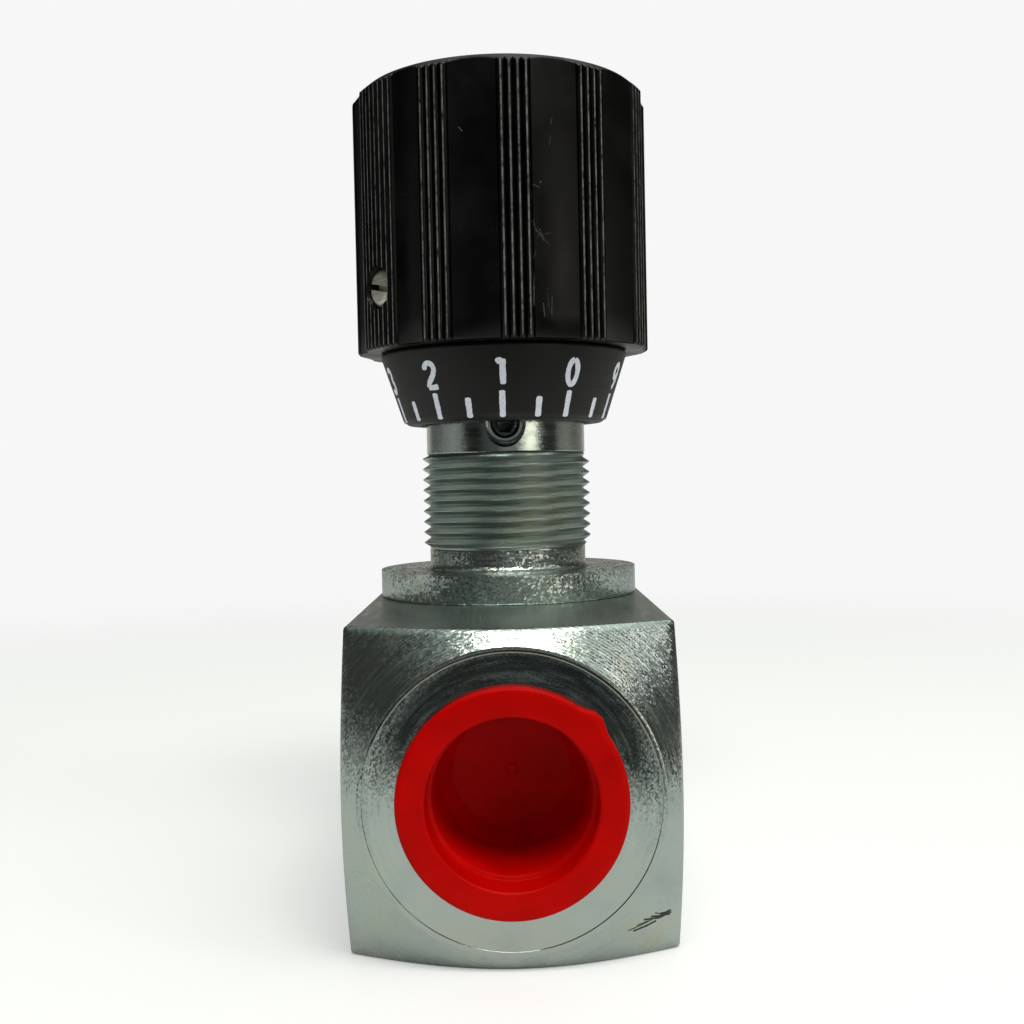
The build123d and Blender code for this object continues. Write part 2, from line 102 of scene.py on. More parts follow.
# %% Camera
camera_place = (0.41, -172.75, 54.73)                  # mm
camera_turn, camera_tip, camera_lean = -0.1, 1.69, -1.2      # degrees
bpy.context.scene.view_settings.view_transform = "Standard"

camera_data = bpy.data.cameras.new("camera")
camera_data.sensor_width = 36
camera_data.lens = 41.95
camera = bpy.data.objects.new("camera", camera_data)
bpy.context.collection.objects.link(camera)
camera.matrix_world = (
    Matrix.Translation([c * MM for c in camera_place])
    @ Matrix.Rotation(math.radians(camera_turn), 4, "Z")
    @ Matrix.Rotation(math.radians(90 - camera_tip), 4, "X")
    @ Matrix.Rotation(math.radians(camera_lean), 4, "Z")
)
camera_data.clip_start = 0.01
bpy.context.scene.camera = camera
print("camera lens", camera_data.lens, "mm")

# %% [markdown]
# ## Colours and nodes
# Colours are picked as sRGB hex values, but a shader works in linear light, so one function
# converts them. A second one adds a node with its settings, its fixed inputs and its links,
# which keeps every material below short enough to read.
# Many surfaces get all their detail from one pattern: where the pattern is high, the colour,
# the roughness and the relief change together. A third function lays such a surface out.

# %% Helpers for materials
def linear(code):
    """Linear colour with alpha from an sRGB hex code."""
    channels = [int(code[i:i + 2], 16) / 255 for i in (1, 3, 5)]
    return tuple(c / 12.92 if c <= 0.04045 else ((c + 0.055) / 1.055) ** 2.4 for c in channels) + (1.0,)


def add_node(tree, kind, settings=None, values=None, links=None):
    """Adds a node: settings are its properties, values fill inputs, links feed inputs.

    A link may name a whole node, which stands for its first output.
    """
    node = tree.nodes.new("ShaderNode" + kind)
    for name, value in (settings or {}).items():
        setattr(node, name, value)
    for name, value in (values or {}).items():
        node.inputs[name].default_value = value
    for name, source in (links or {}).items():
        output = source.outputs[0] if hasattr(source, "outputs") else source
        tree.links.new(output, node.inputs[name])
    return node


def start_material(name, **shader):
    """A new material, its node tree and its Principled shader with fixed values set."""
    material = bpy.data.materials.new(name)
    material.use_nodes = True
    principled = material.node_tree.nodes["Principled BSDF"]
    for socket, value in shader.items():
        principled.inputs[socket.replace("_", " ")].default_value = value
    return material, material.node_tree, principled


def lay_surface(tree, shader, pattern, dark, light, stops=(0.0, 1.0), gloss=None, relief=None, bump=None):
    """Colour, roughness and bump from a pattern; relief is another pattern for the bump, if given."""
    tone = add_node(tree, "ValToRGB", links={"Fac": pattern})
    for element, stop, colour in zip(tone.color_ramp.elements, stops, (dark, light)):
        element.position = stop
        element.color = linear(colour)
    tree.links.new(tone.outputs["Color"], shader.inputs["Base Color"])
    if gloss:
        rough = add_node(tree, "MapRange", values={"To Min": gloss[0], "To Max": gloss[1]},
                         links={"Value": pattern})
        tree.links.new(rough.outputs[0], shader.inputs["Roughness"])
    if bump:
        strength, depth_mm = bump
        raised = add_node(tree, "Bump", values={"Strength": strength, "Distance": depth_mm * MM},
                          links={"Height": relief or pattern})
        tree.links.new(raised.outputs[0], shader.inputs["Normal"])


print("white in linear light:", linear("#FFFFFF"))

# %% [markdown]
# ## Marks left by a lathe
# A tool that feeds across a turning part leaves fine rings round its axis. Noise read in
# straight coordinates cannot show them. So the position is turned into radius, angle and
# height round the axis first, and the noise is stretched along the angle.

# %% Coordinates round an axis
def lathe_coordinates(tree, axis, ring_mm, length_mm, around=3.0):
    """Vector for a texture: radius and height in steps of ring_mm and length_mm, angle stretched."""
    place = add_node(tree, "TexCoord").outputs["Object"]
    parts = add_node(tree, "SeparateXYZ", links={0: place})
    if axis == "port":
        lift = add_node(tree, "Math", {"operation": "SUBTRACT"}, {1: port_height}, {0: parts.outputs["Z"]})
        across, along = (parts.outputs["X"], lift), parts.outputs["Y"]
    else:
        across, along = (parts.outputs["X"], parts.outputs["Y"]), parts.outputs["Z"]
    flat = add_node(tree, "CombineXYZ", links={0: across[0], 1: across[1]})
    radius = add_node(tree, "VectorMath", {"operation": "LENGTH"}, links={0: flat})
    angle = add_node(tree, "Math", {"operation": "ARCTAN2"}, links={0: across[0], 1: across[1]})
    rings = add_node(tree, "Math", {"operation": "MULTIPLY"}, {1: 1 / (ring_mm * MM)},
                     {0: radius.outputs["Value"]})
    steps = add_node(tree, "Math", {"operation": "MULTIPLY"}, {1: 1 / (length_mm * MM)}, {0: along})
    swing = add_node(tree, "Math", {"operation": "MULTIPLY"}, {1: around}, {0: angle})
    vector = add_node(tree, "CombineXYZ",
                      links={0: rings, 1: swing, 2: steps})
    return vector.outputs[0], radius.outputs["Value"]


# %% [markdown]
# ## Zinc-plated steel
# The bar, the bonnet and the screws are free-cutting steel under about 8 microns of bright
# zinc with a clear blue passivation. It is a satin metal: grey, slightly green-blue, with soft
# reflections that the machining marks pull out into streaks.
# Six finishes share one recipe: the turned cone, the faced seat, the drawn sides of the bar,
# the bonnet, its bright flange and its thread.

# %% Material: zinc plate over a chosen machining pattern
ZINC_COOL = linear("#AFBBB6")
ZINC_PLAIN = linear("#B9C4BE")
ZINC_WARM = linear("#BEC3B6")


def zinc_plate(name, axis, feed_mm, feed_depth, streak_mm, length_mm, roughness, grain_mm, sparkle,
               around=3.0):
    """Zinc plate over tool marks feed_mm apart and feed_depth mm deep.

    Streaks are streak_mm across and length_mm along the axis, and around is how often they
    break in a turn. Crystals are grain_mm wide and lean by sparkle.
    """
    material, tree, shader = start_material(name, Metallic=1.0)
    vector, radius = lathe_coordinates(tree, axis, streak_mm, length_mm, around)
    streaks = add_node(tree, "TexNoise", values={"Scale": 1.0, "Detail": 3.0, "Roughness": 0.6},
                       links={"Vector": vector})
    place = add_node(tree, "TexCoord").outputs["Object"]
    # the tool leaves one even groove for each turn, so its marks are a sine of the radius
    phase = add_node(tree, "Math", {"operation": "MULTIPLY"}, {1: 2 * math.pi / (feed_mm * MM)},
                     {0: radius})
    groove = add_node(tree, "Math", {"operation": "SINE"}, links={0: phase})
    worn = add_node(tree, "Math", {"operation": "MULTIPLY"},
                    links={0: groove, 1: streaks})
    crystals = add_node(tree, "TexVoronoi", values={"Scale": 1 / (grain_mm * MM)},
                        links={"Vector": place})
    clouds = add_node(tree, "TexNoise", values={"Scale": 1 / (7 * MM), "Detail": 4.0, "Roughness": 0.6},
                      links={"Vector": place})
    # the plate is never one even grey: faint cool and yellowish clouds of passivation lie over it
    tone = add_node(tree, "ValToRGB", links={"Fac": clouds})
    tone.color_ramp.elements[0].position = 0.34
    tone.color_ramp.elements[0].color = ZINC_COOL
    tone.color_ramp.elements[1].position = 0.68
    tone.color_ramp.elements[1].color = ZINC_WARM
    tone.color_ramp.elements.new(0.52).color = ZINC_PLAIN
    tree.links.new(tone.outputs["Color"], shader.inputs["Base Color"])
    gloss = add_node(tree, "MapRange",
                     values={"From Min": 0.3, "From Max": 0.7,
                             "To Min": roughness - 0.05, "To Max": roughness + 0.07},
                     links={"Value": streaks})
    tree.links.new(gloss.outputs[0], shader.inputs["Roughness"])
    first = add_node(tree, "Bump", values={"Strength": 1.0, "Distance": feed_depth * MM},
                     links={"Height": worn})
    # each crystal leans its own way by a few degrees, so single ones flash where a lamp is mirrored
    lean = add_node(tree, "VectorMath", {"operation": "SUBTRACT"}, {1: (0.5, 0.5, 0.5)},
                    {0: crystals.outputs["Color"]})
    share = add_node(tree, "VectorMath", {"operation": "SCALE"}, {"Scale": sparkle}, {0: lean})
    facet = add_node(tree, "VectorMath", {"operation": "ADD"},
                     links={0: first, 1: share})
    normal = add_node(tree, "VectorMath", {"operation": "NORMALIZE"}, links={0: facet})
    tree.links.new(normal.outputs[0], shader.inputs["Normal"])
    return material


zinc_cone = zinc_plate("zinc_turned_cone", "port", 0.30, 0.009, 0.30, 2.0, 0.24, 0.20, 0.16, around=2.5)
zinc_seat = zinc_plate("zinc_faced_seat", "port", 0.12, 0.0006, 0.5, 2.0, 0.13, 0.20, 0.035)
zinc_bar = zinc_plate("zinc_drawn_bar", "port", 3.0, 0.0005, 1.2, 9.0, 0.33, 0.22, 0.12, around=40.0)
zinc_bonnet = zinc_plate("zinc_turned_bonnet", "spindle", 0.25, 0.0008, 0.5, 0.35, 0.17, 0.18, 0.06)
zinc_flange = zinc_plate("zinc_bright_flange", "spindle", 0.25, 0.0008, 0.5, 0.35, 0.25, 0.24, 0.34)
zinc_thread = zinc_plate("zinc_cut_thread", "spindle", 0.25, 0.0005, 0.5, 0.20, 0.33, 0.20, 0.16)
print("zinc finishes:", zinc_cone.name, zinc_seat.name, zinc_bar.name, zinc_bonnet.name, zinc_flange.name,
      zinc_thread.name)

# %% [markdown]
# ## Ground steel, spring wire and brass
# The spindle, needle and check valve are hardened and ground, so they are brighter and finer
# than the plated parts. The spring is drawn wire with a dark oil finish, and the hub and the
# lock screw's pad are turned from yellow brass.

# %% Materials: bare metals
def bare_metal(name, light, dark, roughness, ring_mm, bump_mm):
    """Turned or ground metal that shows fine rings round the spindle."""
    material, tree, shader = start_material(name, Metallic=1.0)
    vector, _ = lathe_coordinates(tree, "spindle", ring_mm, ring_mm)
    rings = add_node(tree, "TexNoise", values={"Scale": 1.0, "Detail": 3.0}, links={"Vector": vector})
    lay_surface(tree, shader, rings, dark, light, stops=(0.3, 0.6),
                gloss=(roughness - 0.05, roughness + 0.1), bump=(1.0, bump_mm))
    return material


ground_steel = bare_metal("ground_steel", "#B9BCBE", "#8E9295", 0.20, 0.15, 0.003)
spring_wire = bare_metal("oiled_spring_wire", "#6E7072", "#46484A", 0.32, 0.3, 0.004)
turned_brass = bare_metal("turned_brass", "#D9B45F", "#B48A3C", 0.25, 0.2, 0.004)
black_screw = bare_metal("phosphated_screw_steel", "#5A6663", "#2B3432", 0.30, 0.25, 0.006)
screw_steel = bare_metal("zinc_screw_steel", "#E6E4D6", "#BDB89E", 0.48, 0.25, 0.006)
print("bare metals:", ground_steel.name, spring_wire.name, turned_brass.name, black_screw.name,
      screw_steel.name)

# %% [markdown]
# ## Black knob plastic
# The knob is moulded in a black glass-filled nylon. Its skin is semi-gloss, with a fine grain
# and pale dust in the pores. Its ridge tips are painted pale, a painted highlight. At nylon's
# true index of 1.53 its mirror looks too strong, so a lower one is set.

# %% Material: moulded black nylon
ridge_tip_mm = (20.804, 20.818)      # the painted highlight fades in between these radii
knob_black, tree, shader = start_material("moulded_black_nylon", IOR=1.38)
place = add_node(tree, "TexCoord").outputs["Object"]
grain = add_node(tree, "TexNoise", values={"Scale": 1 / (0.22 * MM), "Detail": 3.0},
                 links={"Vector": place})
patches = add_node(tree, "TexNoise", values={"Scale": 1 / (6 * MM), "Detail": 3.0},
                   links={"Vector": place})
dust = add_node(tree, "TexVoronoi", values={"Scale": 1 / (1.1 * MM)}, links={"Vector": place})
speck = add_node(tree, "MapRange",
                 values={"From Min": 0.05, "From Max": 0.11, "To Min": 1.0, "To Max": 0.0},
                 links={"Value": dust.outputs["Distance"]})
gate = add_node(tree, "Math", {"operation": "GREATER_THAN"}, {1: 0.56}, {0: patches})
dusty = add_node(tree, "Math", {"operation": "MULTIPLY"},
                 links={0: speck, 1: gate})
colour = add_node(tree, "Mix", {"data_type": "RGBA"},
                  {"A": linear("#010101"), "B": linear("#2E2E2C")}, {"Factor": dusty})
# painted highlight: the ridge tips are painted pale in short broken runs; only the tips reach the full
# radius
vector, radius = lathe_coordinates(tree, "spindle", 2.0, 1.1, around=40.0)
tips = add_node(tree, "MapRange", values={"From Min": ridge_tip_mm[0] * MM,
                                           "From Max": ridge_tip_mm[1] * MM}, links={"Value": radius})
runs = add_node(tree, "TexNoise", values={"Scale": 1.0, "Detail": 3.0, "Roughness": 0.7},
                links={"Vector": vector})
broken = add_node(tree, "MapRange", values={"From Min": 0.30, "From Max": 0.62},
                  links={"Value": runs})
painted_tip_highlight = add_node(tree, "Math", {"operation": "MULTIPLY"}, links={0: tips, 1: broken})
tip_highlight_colour = add_node(tree, "Mix", {"data_type": "RGBA"}, {"B": linear("#8A8E8B")},
               {"Factor": painted_tip_highlight, "A": colour.outputs["Result"]})
tree.links.new(tip_highlight_colour.outputs["Result"], shader.inputs["Base Color"])
gloss = add_node(tree, "MapRange",
                 values={"From Min": 0.35, "From Max": 0.65, "To Min": 0.27, "To Max": 0.42},
                 links={"Value": patches})
tree.links.new(gloss.outputs[0], shader.inputs["Roughness"])
bump = add_node(tree, "Bump", values={"Strength": 0.6, "Distance": 0.012 * MM},
                links={"Height": grain})
tree.links.new(bump.outputs[0], shader.inputs["Normal"])
print("knob material:", knob_black.name)

# %% [markdown]
# ## Scraped surfaces
# A scrape leaves a dry, torn surface that is paler than black plastic and darker than bright
# zinc. Flakes a fifth of a millimetre wide break it up.

# %% Materials: scuffs
def scuff_material(name, light, dark, roughness):
    """Dry broken surface left by a scrape."""
    material, tree, shader = start_material(name, IOR=1.4, Roughness=roughness)
    place = add_node(tree, "TexCoord").outputs["Object"]
    flakes = add_node(tree, "TexNoise", values={"Scale": 1 / (0.18 * MM), "Detail": 3.0, "Roughness": 0.8},
                      links={"Vector": place})
    lay_surface(tree, shader, flakes, dark, light, stops=(0.42, 0.62), bump=(0.8, 0.02))
    return material


scuffed_nylon = scuff_material("scuffed_nylon", "#6E7371", "#0A0A0A", 0.6)
dark_rub = scuff_material("dark_rub_mark", "#4A524E", "#101413", 0.5)
print("scuffs:", scuffed_nylon.name, dark_rub.name)

# %% [markdown]
# ## Black anodised collar and white paint fill
# The numbered collar is aluminium, turned and anodised. Its black oxide skin hides the metal,
# so it is shaded as a matte non-metal. Its figures are filled by hand with white enamel, so
# the paint is uneven and slightly raised.

# %% Materials: collar and figures
collar_black, tree, shader = start_material("black_anodised_aluminium")
vector, _ = lathe_coordinates(tree, "spindle", 0.4, 0.12, around=1.5)
rings = add_node(tree, "TexNoise", values={"Scale": 1.0, "Detail": 2.0}, links={"Vector": vector})
lay_surface(tree, shader, rings, "#010101", "#050505", gloss=(0.42, 0.6), bump=(0.5, 0.006))

# painted light: the enamel is given a faint glow of its own, which keeps it as white as it looks beside so
# much black
paint_white, tree, shader = start_material("white_enamel_fill", IOR=1.5, Emission_Color=linear("#E6EBF7"),
                                           Emission_Strength=0.22)
place = add_node(tree, "TexCoord").outputs["Object"]
brush = add_node(tree, "TexNoise", values={"Scale": 1 / (0.35 * MM), "Detail": 3.0, "Roughness": 0.7},
                 links={"Vector": place})
lay_surface(tree, shader, brush, "#C9CEDD", "#F4F7FF", stops=(0.3, 0.62), gloss=(0.35, 0.6),
            bump=(0.7, 0.03))
print("collar materials:", collar_black.name, paint_white.name)

# %% [markdown]
# ## Red polyethylene
# The transport plugs are thin mouldings of soft red polyethylene. Light goes a short way
# into it, so edges glow and shadows stay red. The skin is waxy with faint flow marks, and so
# dull that its mirror is set weaker than the true index of the plastic would make it.

# %% Material: moulded red polyethylene
plug_red, tree, shader = start_material("moulded_red_polyethylene", IOR=1.16, Subsurface_Weight=0.1,
                                        Subsurface_Radius=(1.0, 0.12, 0.06), Subsurface_Scale=1.2 * MM)
place = add_node(tree, "TexCoord").outputs["Object"]
flow = add_node(tree, "TexNoise", values={"Scale": 1 / (4.5 * MM), "Detail": 3.0},
                links={"Vector": place})
skin = add_node(tree, "TexNoise", values={"Scale": 1 / (0.35 * MM), "Detail": 2.0},
                links={"Vector": place})
lay_surface(tree, shader, flow, "#C40300", "#D60400", stops=(0.3, 0.7), gloss=(0.34, 0.5), relief=skin,
            bump=(0.5, 0.012))
print("plug material:", plug_red.name)

# %% [markdown]
# ## Rubber and PTFE
# The seals are nitrile rubber, dull black with a bloom, and the ring that backs the spindle's
# seal is cut from white PTFE, which looks like hard wax.

# %% Materials: seals
def seal_material(name, light, dark, roughness, grain_mm):
    """Soft seal material with a fine mottled bloom."""
    material, tree, shader = start_material(name, IOR=1.4)
    place = add_node(tree, "TexCoord").outputs["Object"]
    bloom = add_node(tree, "TexNoise", values={"Scale": 1 / (grain_mm * MM), "Detail": 3.0},
                     links={"Vector": place})
    lay_surface(tree, shader, bloom, dark, light, gloss=(roughness - 0.1, roughness + 0.1))
    return material


nitrile = seal_material("nitrile_rubber", "#1C1C1C", "#0A0A0A", 0.6, 0.4)
ptfe = seal_material("cut_ptfe", "#F1F0EA", "#D8D7D0", 0.45, 0.5)
print("seals:", nitrile.name, ptfe.name)

# %% [markdown]
# ## Turning shapes on a grid
# Nearly every piece of this valve is a turned part. Blender's Screw or Spin could make
# one, but a grid of points gives more: each row is a ring whose radius and height may vary
# round the turn. So the same few lines make a plain shaft, a true helical thread, a square
# bar and a ribbed knob. Corners are softened, because real edges always catch some light.

# %% Helpers for shapes
def soften(outline, radius, steps=3, closed=False):
    """Rounds the corners of an outline of (radius, height) points with small curves."""
    points = [np.array(p, float) for p in outline]
    corners = range(len(points)) if closed else range(1, len(points) - 1)
    rounded = [] if closed else [points[0]]
    for i in corners:
        corner = points[i]
        back, ahead = points[i - 1] - corner, points[(i + 1) % len(points)] - corner
        reach = min(radius, 0.45 * np.linalg.norm(back), 0.45 * np.linalg.norm(ahead))
        start = corner + back / np.linalg.norm(back) * reach
        end = corner + ahead / np.linalg.norm(ahead) * reach
        for t in np.linspace(0, 1, steps + 1):
            rounded.append((1 - t) ** 2 * start + 2 * t * (1 - t) * corner + t * t * end)
    if not closed:
        rounded.append(points[-1])
    return [tuple(p) for p in rounded]


def mesh_from_rows(name, rows, turn, place, closed=True, bands=None, sharp=35):
    """Mesh from rings of (radius, height) in mm; turn holds the angles, with the first one repeated."""
    radius = np.array([np.broadcast_to(r, turn.shape) for r, h in rows]) * MM
    height = np.array([np.broadcast_to(h, turn.shape) for r, h in rows]) * MM
    grid = np.stack([radius * np.cos(turn), radius * np.sin(turn), height], axis=-1)
    index = np.arange(len(rows) * len(turn)).reshape(len(rows), len(turn))
    here, beyond = (index, np.roll(index, -1, axis=0)) if closed else (index[:-1], index[1:])
    quads = np.stack([here[:, :-1], here[:, 1:], beyond[:, 1:], beyond[:, :-1]], axis=-1).reshape(-1, 4)
    mesh = bpy.data.meshes.new(name)
    mesh.from_pydata(grid.reshape(-1, 3).tolist(), [], quads.tolist())
    if bands is not None:
        mesh.polygons.foreach_set("material_index", np.repeat(bands[:len(here)], len(turn) - 1))
    mesh.transform(place)
    return tidy_mesh(name, mesh, sharp)


def tidy_mesh(name, mesh, sharp=35):
    """Joins doubled points, makes normals face out, and keeps edges steeper than sharp degrees crisp."""
    work = bmesh.new()
    work.from_mesh(mesh)
    bmesh.ops.remove_doubles(work, verts=work.verts, dist=2e-7)
    bmesh.ops.dissolve_degenerate(work, dist=1e-7, edges=work.edges)
    bmesh.ops.recalc_face_normals(work, faces=work.faces)
    for face in work.faces:
        face.smooth = True
    for edge in work.edges:
        edge.smooth = len(edge.link_faces) != 2 or edge.calc_face_angle(0) < math.radians(sharp)
    work.to_mesh(mesh)
    work.free()
    mesh.update()
    piece = bpy.data.objects.get(name) or bpy.data.objects.new(name, mesh)
    piece.data = mesh
    if piece.name not in bpy.context.collection.objects:
        bpy.context.collection.objects.link(piece)
    return piece


def cut(piece, *cutters, sharp=35):
    """Cuts the cutters out of a piece, then throws the cutters away."""
    for cutter in cutters:
        step = piece.modifiers.new("cut", "BOOLEAN")
        step.operation = "DIFFERENCE"
        step.solver = "EXACT"
        step.object = cutter
    bpy.context.view_layer.update()
    result = bpy.data.meshes.new_from_object(piece.evaluated_get(bpy.context.evaluated_depsgraph_get()))
    piece.modifiers.clear()
    for cutter in cutters:
        bpy.data.objects.remove(cutter)
    return tidy_mesh(piece.name, result, sharp)


def attach(piece, body, nodes, slot_name, *materials):
    """Gives a piece its materials and its moving body, and hides the nodes it stands for; slot_name is not
    used.
    """
    if materials:
        piece.data.materials.clear()
    for material in materials:
        piece.data.materials.append(material)
    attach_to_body(piece, body)
    if nodes:
        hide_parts(*nodes)
    print(piece.name, len(piece.data.polygons), "faces")


def full_turn(steps):
    """Angles of a whole turn, with the first one repeated at the end."""
    return np.linspace(0, 2 * math.pi, steps + 1)


upright = Matrix.Identity(4)
# local Z of a part turned round the port axis points to the front, which is -Y
along_port = Matrix.Translation((0, 0, port_height)) @ Matrix.Rotation(math.radians(90), 4, "X")


def along_radius(degrees, height):
    """Frame whose Z points out from the spindle; degrees are counted from the front towards +X."""
    turn_out = Matrix.Rotation(math.radians(degrees), 4, "Z")
    return Matrix.Translation((0, 0, height)) @ turn_out @ Matrix.Rotation(math.radians(90), 4, "X")


# %% [markdown]
# ## A true thread
# A thread is a ring outline that climbs by one pitch in a turn. Each row is given a height
# that rises with the angle, and rows past either end are pressed flat against it. The last
# column then meets the first one a whole pitch higher, so merging doubled points closes it.

# %% Rows of a helical thread
def thread_rows(turn, root, crest, start, end, pitch):
    """Rows of a right-hand thread between two heights; crest may be less than root for a nut."""
    # (share of the pitch, share of the depth): a rounded crest, a flank, a rounded root, a flank
    shape = [(0.0, 1.0), (0.05, 0.98), (0.24, 0.53), (0.42, 0.08),
             (0.5, 0.0), (0.58, 0.08), (0.76, 0.53), (0.95, 0.98)]
    run_out = 0.35 * pitch
    rows = []
    for lap in range(-1, math.ceil((end - start) / pitch) + 1):
        for part, depth in shape:
            height = start + (lap + part) * pitch + turn / (2 * math.pi) * pitch
            inside = np.clip((height - start) / run_out, 0, 1) * np.clip((end - height) / run_out, 0, 1)
            rows.append((root + (crest - root) * depth * inside, np.clip(height, start, end)))
    return rows


print("rows in ten millimetres of M24 thread:", len(thread_rows(full_turn(8), 11.1, 12.0, 0, 10, 1.5)))

# %% [markdown]
# ## Columns of the body
# The real body is sawn from square bar, then each end is faced in a lathe. The tool runs off
# over the corners at a slant, so each end is a flat ring inside a shallow cone that the four
# flat sides cut into curved edges.
# The grid's columns are spread along the square's edge instead of evenly round the turn,
# which keeps the corners true.

# %% Columns spread along the square bar
corner_radius = 0.45
half_side = body_wide / MM
quarter = [(half_side, h) for h in np.linspace(0, half_side - corner_radius, 16)[:-1]]
for bend in np.linspace(0, math.pi / 2, 6):
    quarter.append((half_side - corner_radius + corner_radius * math.cos(bend),
                    half_side - corner_radius + corner_radius * math.sin(bend)))
quarter += [(h, half_side) for h in np.linspace(half_side - corner_radius, 0, 16)[1:-1]]
square = []
for quarter_turn in range(4):
    c, s = round(math.cos(quarter_turn * math.pi / 2)), round(math.sin(quarter_turn * math.pi / 2))
    square += [(c * x - s * z, s * x + c * z) for x, z in quarter]
square.append(square[0])
square = np.array(square)
body_turn = np.unwrap(np.arctan2(square[:, 1], square[:, 0]))
edge_radius = np.hypot(square[:, 0], square[:, 1])
print("columns round the body:", len(body_turn) - 1)

# %% [markdown]
# ## Rows of the body
# The rows run from the sides over the cone, the flat face and the spot face into the port's
# thread. The other end is the same with its sign changed. Each row notes its finish: 0 for
# the drawn sides, 1 for the cone, 2 for the faces and bores.

# %% Rows from the sides over one end into the port
half_length = body_half / MM
end_flat = 17.1                      # radius of the flat turned face
cone_slope = 0.685                   # fall of the cone for each millimetre of radius
spot_face = 16.6
port_minor, port_major, port_pitch = 10.2, 11.0, 1.5
port_floor = half_length - 19.0


def end_rows(sign):
    """Rows and finishes of one end; sign is +1 for the front, where local height is positive."""
    def cone(radius):
        return sign * (half_length - cone_slope * (radius - end_flat))

    outer = edge_radius
    rows = [
        (outer, cone(outer) - sign * 0.30),
        (outer, cone(outer) - sign * 0.16),
        (outer - 0.05, cone(outer) - sign * 0.05),
        (outer - 0.18, cone(outer - 0.18)),
    ]
    for t in (0.85, 0.6, 0.4, 0.2, 0.0):
        radius = end_flat + 0.2 + (outer - 0.38 - end_flat) * t
        rows.append((radius, cone(radius)))
    rows += [(end_flat + 0.05, sign * (half_length - 0.02)), (end_flat - 0.12, sign * half_length)]
    finish = [1] * len(rows)
    sunk = half_length - 0.10
    seat = soften([(end_flat - 0.2, half_length), (spot_face, half_length), (spot_face - 0.03, sunk),
                   (14.0, sunk), (11.4, sunk), (port_minor, half_length - 1.3)], 0.08)
    rows += [(r, sign * h) for r, h in seat]
    finish += [2] * len(seat)
    low, high = sorted((sign * (half_length - 1.4), sign * (port_floor + 3.5)))
    thread = thread_rows(body_turn, port_major, port_minor, low, high, port_pitch)
    rows += thread if sign < 0 else thread[::-1]
    rows += [(port_minor + 0.4, sign * (port_floor + 3.2)), (port_minor, sign * (port_floor + 0.3)),
             (port_minor - 0.3, sign * port_floor)]
    finish += [2] * (len(thread) + 3)
    return rows, finish


front_rows, front_finish = end_rows(1)
rear_rows, rear_finish = end_rows(-1)
passage, check_seat, check_bore, groove = 4.75, -9.0, 7.0, 7.42
middle = [(7.4, port_floor), (4.9, port_floor), (passage, port_floor - 0.2), (passage, -8.9),
          (4.9, check_seat), (check_bore, check_seat), (check_bore, -21.35), (groove, -21.35),
          (groove, -22.45), (check_bore, -22.45), (check_bore, -port_floor + 0.2), (7.2, -port_floor)]
body_rows = front_rows + middle + rear_rows[::-1]
body_finish = front_finish + [2] * len(middle) + rear_finish[::-1]
# the last row closes the grid along the sides
body_finish[-1] = 0
print("rows through the body:", len(body_rows))

# %% [markdown]
# ## Boring the body
# The bonnet sits in a stepped bore from above, and a small cross hole leads from it to the
# passage. Both are cut with plain turned shapes.

# %% Body mesh, bored for the bonnet
body_piece = mesh_from_rows("body_block", body_rows, body_turn, along_port, bands=body_finish)
stepped = [(0, 19), (3.75, 19), (3.75, 24.6), (7.5, 24.6), (7.5, 29), (13, 29), (13, 39), (0, 39)]
bonnet_bore = mesh_from_rows("bore", stepped, full_turn(48), upright, closed=False)
cross_height = 26
cross_place = along_port @ Matrix.Translation((0, cross_height * MM - port_height, 0))
cross_bore = mesh_from_rows("cross", [(0, -24.5), (2.2, -24.5), (2.2, 0), (0, 0)], full_turn(24),
                            cross_place, closed=False)
# the finishes go on before the cuts, which keep them on the faces that are left
for finish in (zinc_bar, zinc_cone, zinc_seat):
    body_piece.data.materials.append(finish)
body_piece = cut(body_piece, bonnet_bore, cross_bore)
attach(body_piece, "valve", ["valve_body"], "zinc_body")

# %% [markdown]
# ## The bonnet
# The bonnet is one turned piece: a round flange that covers its sealing ring, an undercut, a
# panel thread of about nine turns, and a smooth neck that runs up into the knob. A small
# counterbored pocket in the front of the neck holds the lock screw.

# %% Bonnet mesh
bonnet_top = bonnet_high.z / MM
flange_radius = bonnet_high.x / MM
flange_low, flange_high = body_high.z / MM, body_high.z / MM + 3.84
neck, panel_root, panel_crest, panel_pitch = 11.19, 11.08, 12.0, 1.5
thread_low, thread_high = 44.75, 58.15
smooth_neck = 11.35
around = full_turn(192)
lower = soften([(11.0, flange_low - 1.8), (11.0, flange_low), (flange_radius, flange_low),
                (flange_radius, flange_high)], 0.3)
lower += [(neck + 0.9, flange_high), (neck + 0.42, flange_high + 0.1), (neck + 0.14, flange_high + 0.36),
          (neck, flange_high + 0.85), (neck, thread_low - 0.1), (neck - 0.05, thread_low)]
upper = soften([(smooth_neck - 0.02, thread_high), (smooth_neck, thread_high + 0.1),
                (smooth_neck, bonnet_top), (6.08, bonnet_top), (6.08, 66), (5.0, 66),
                (5.0, 44), (7.5, 44), (7.5, 29.2), (12.95, 29.2),
                (12.95, flange_low - 1.8), (11.0, flange_low - 1.8)], 0.3)[:-1]
thread = thread_rows(around, panel_root, panel_crest, thread_low, thread_high, panel_pitch)
bonnet_rows = lower + thread + upper
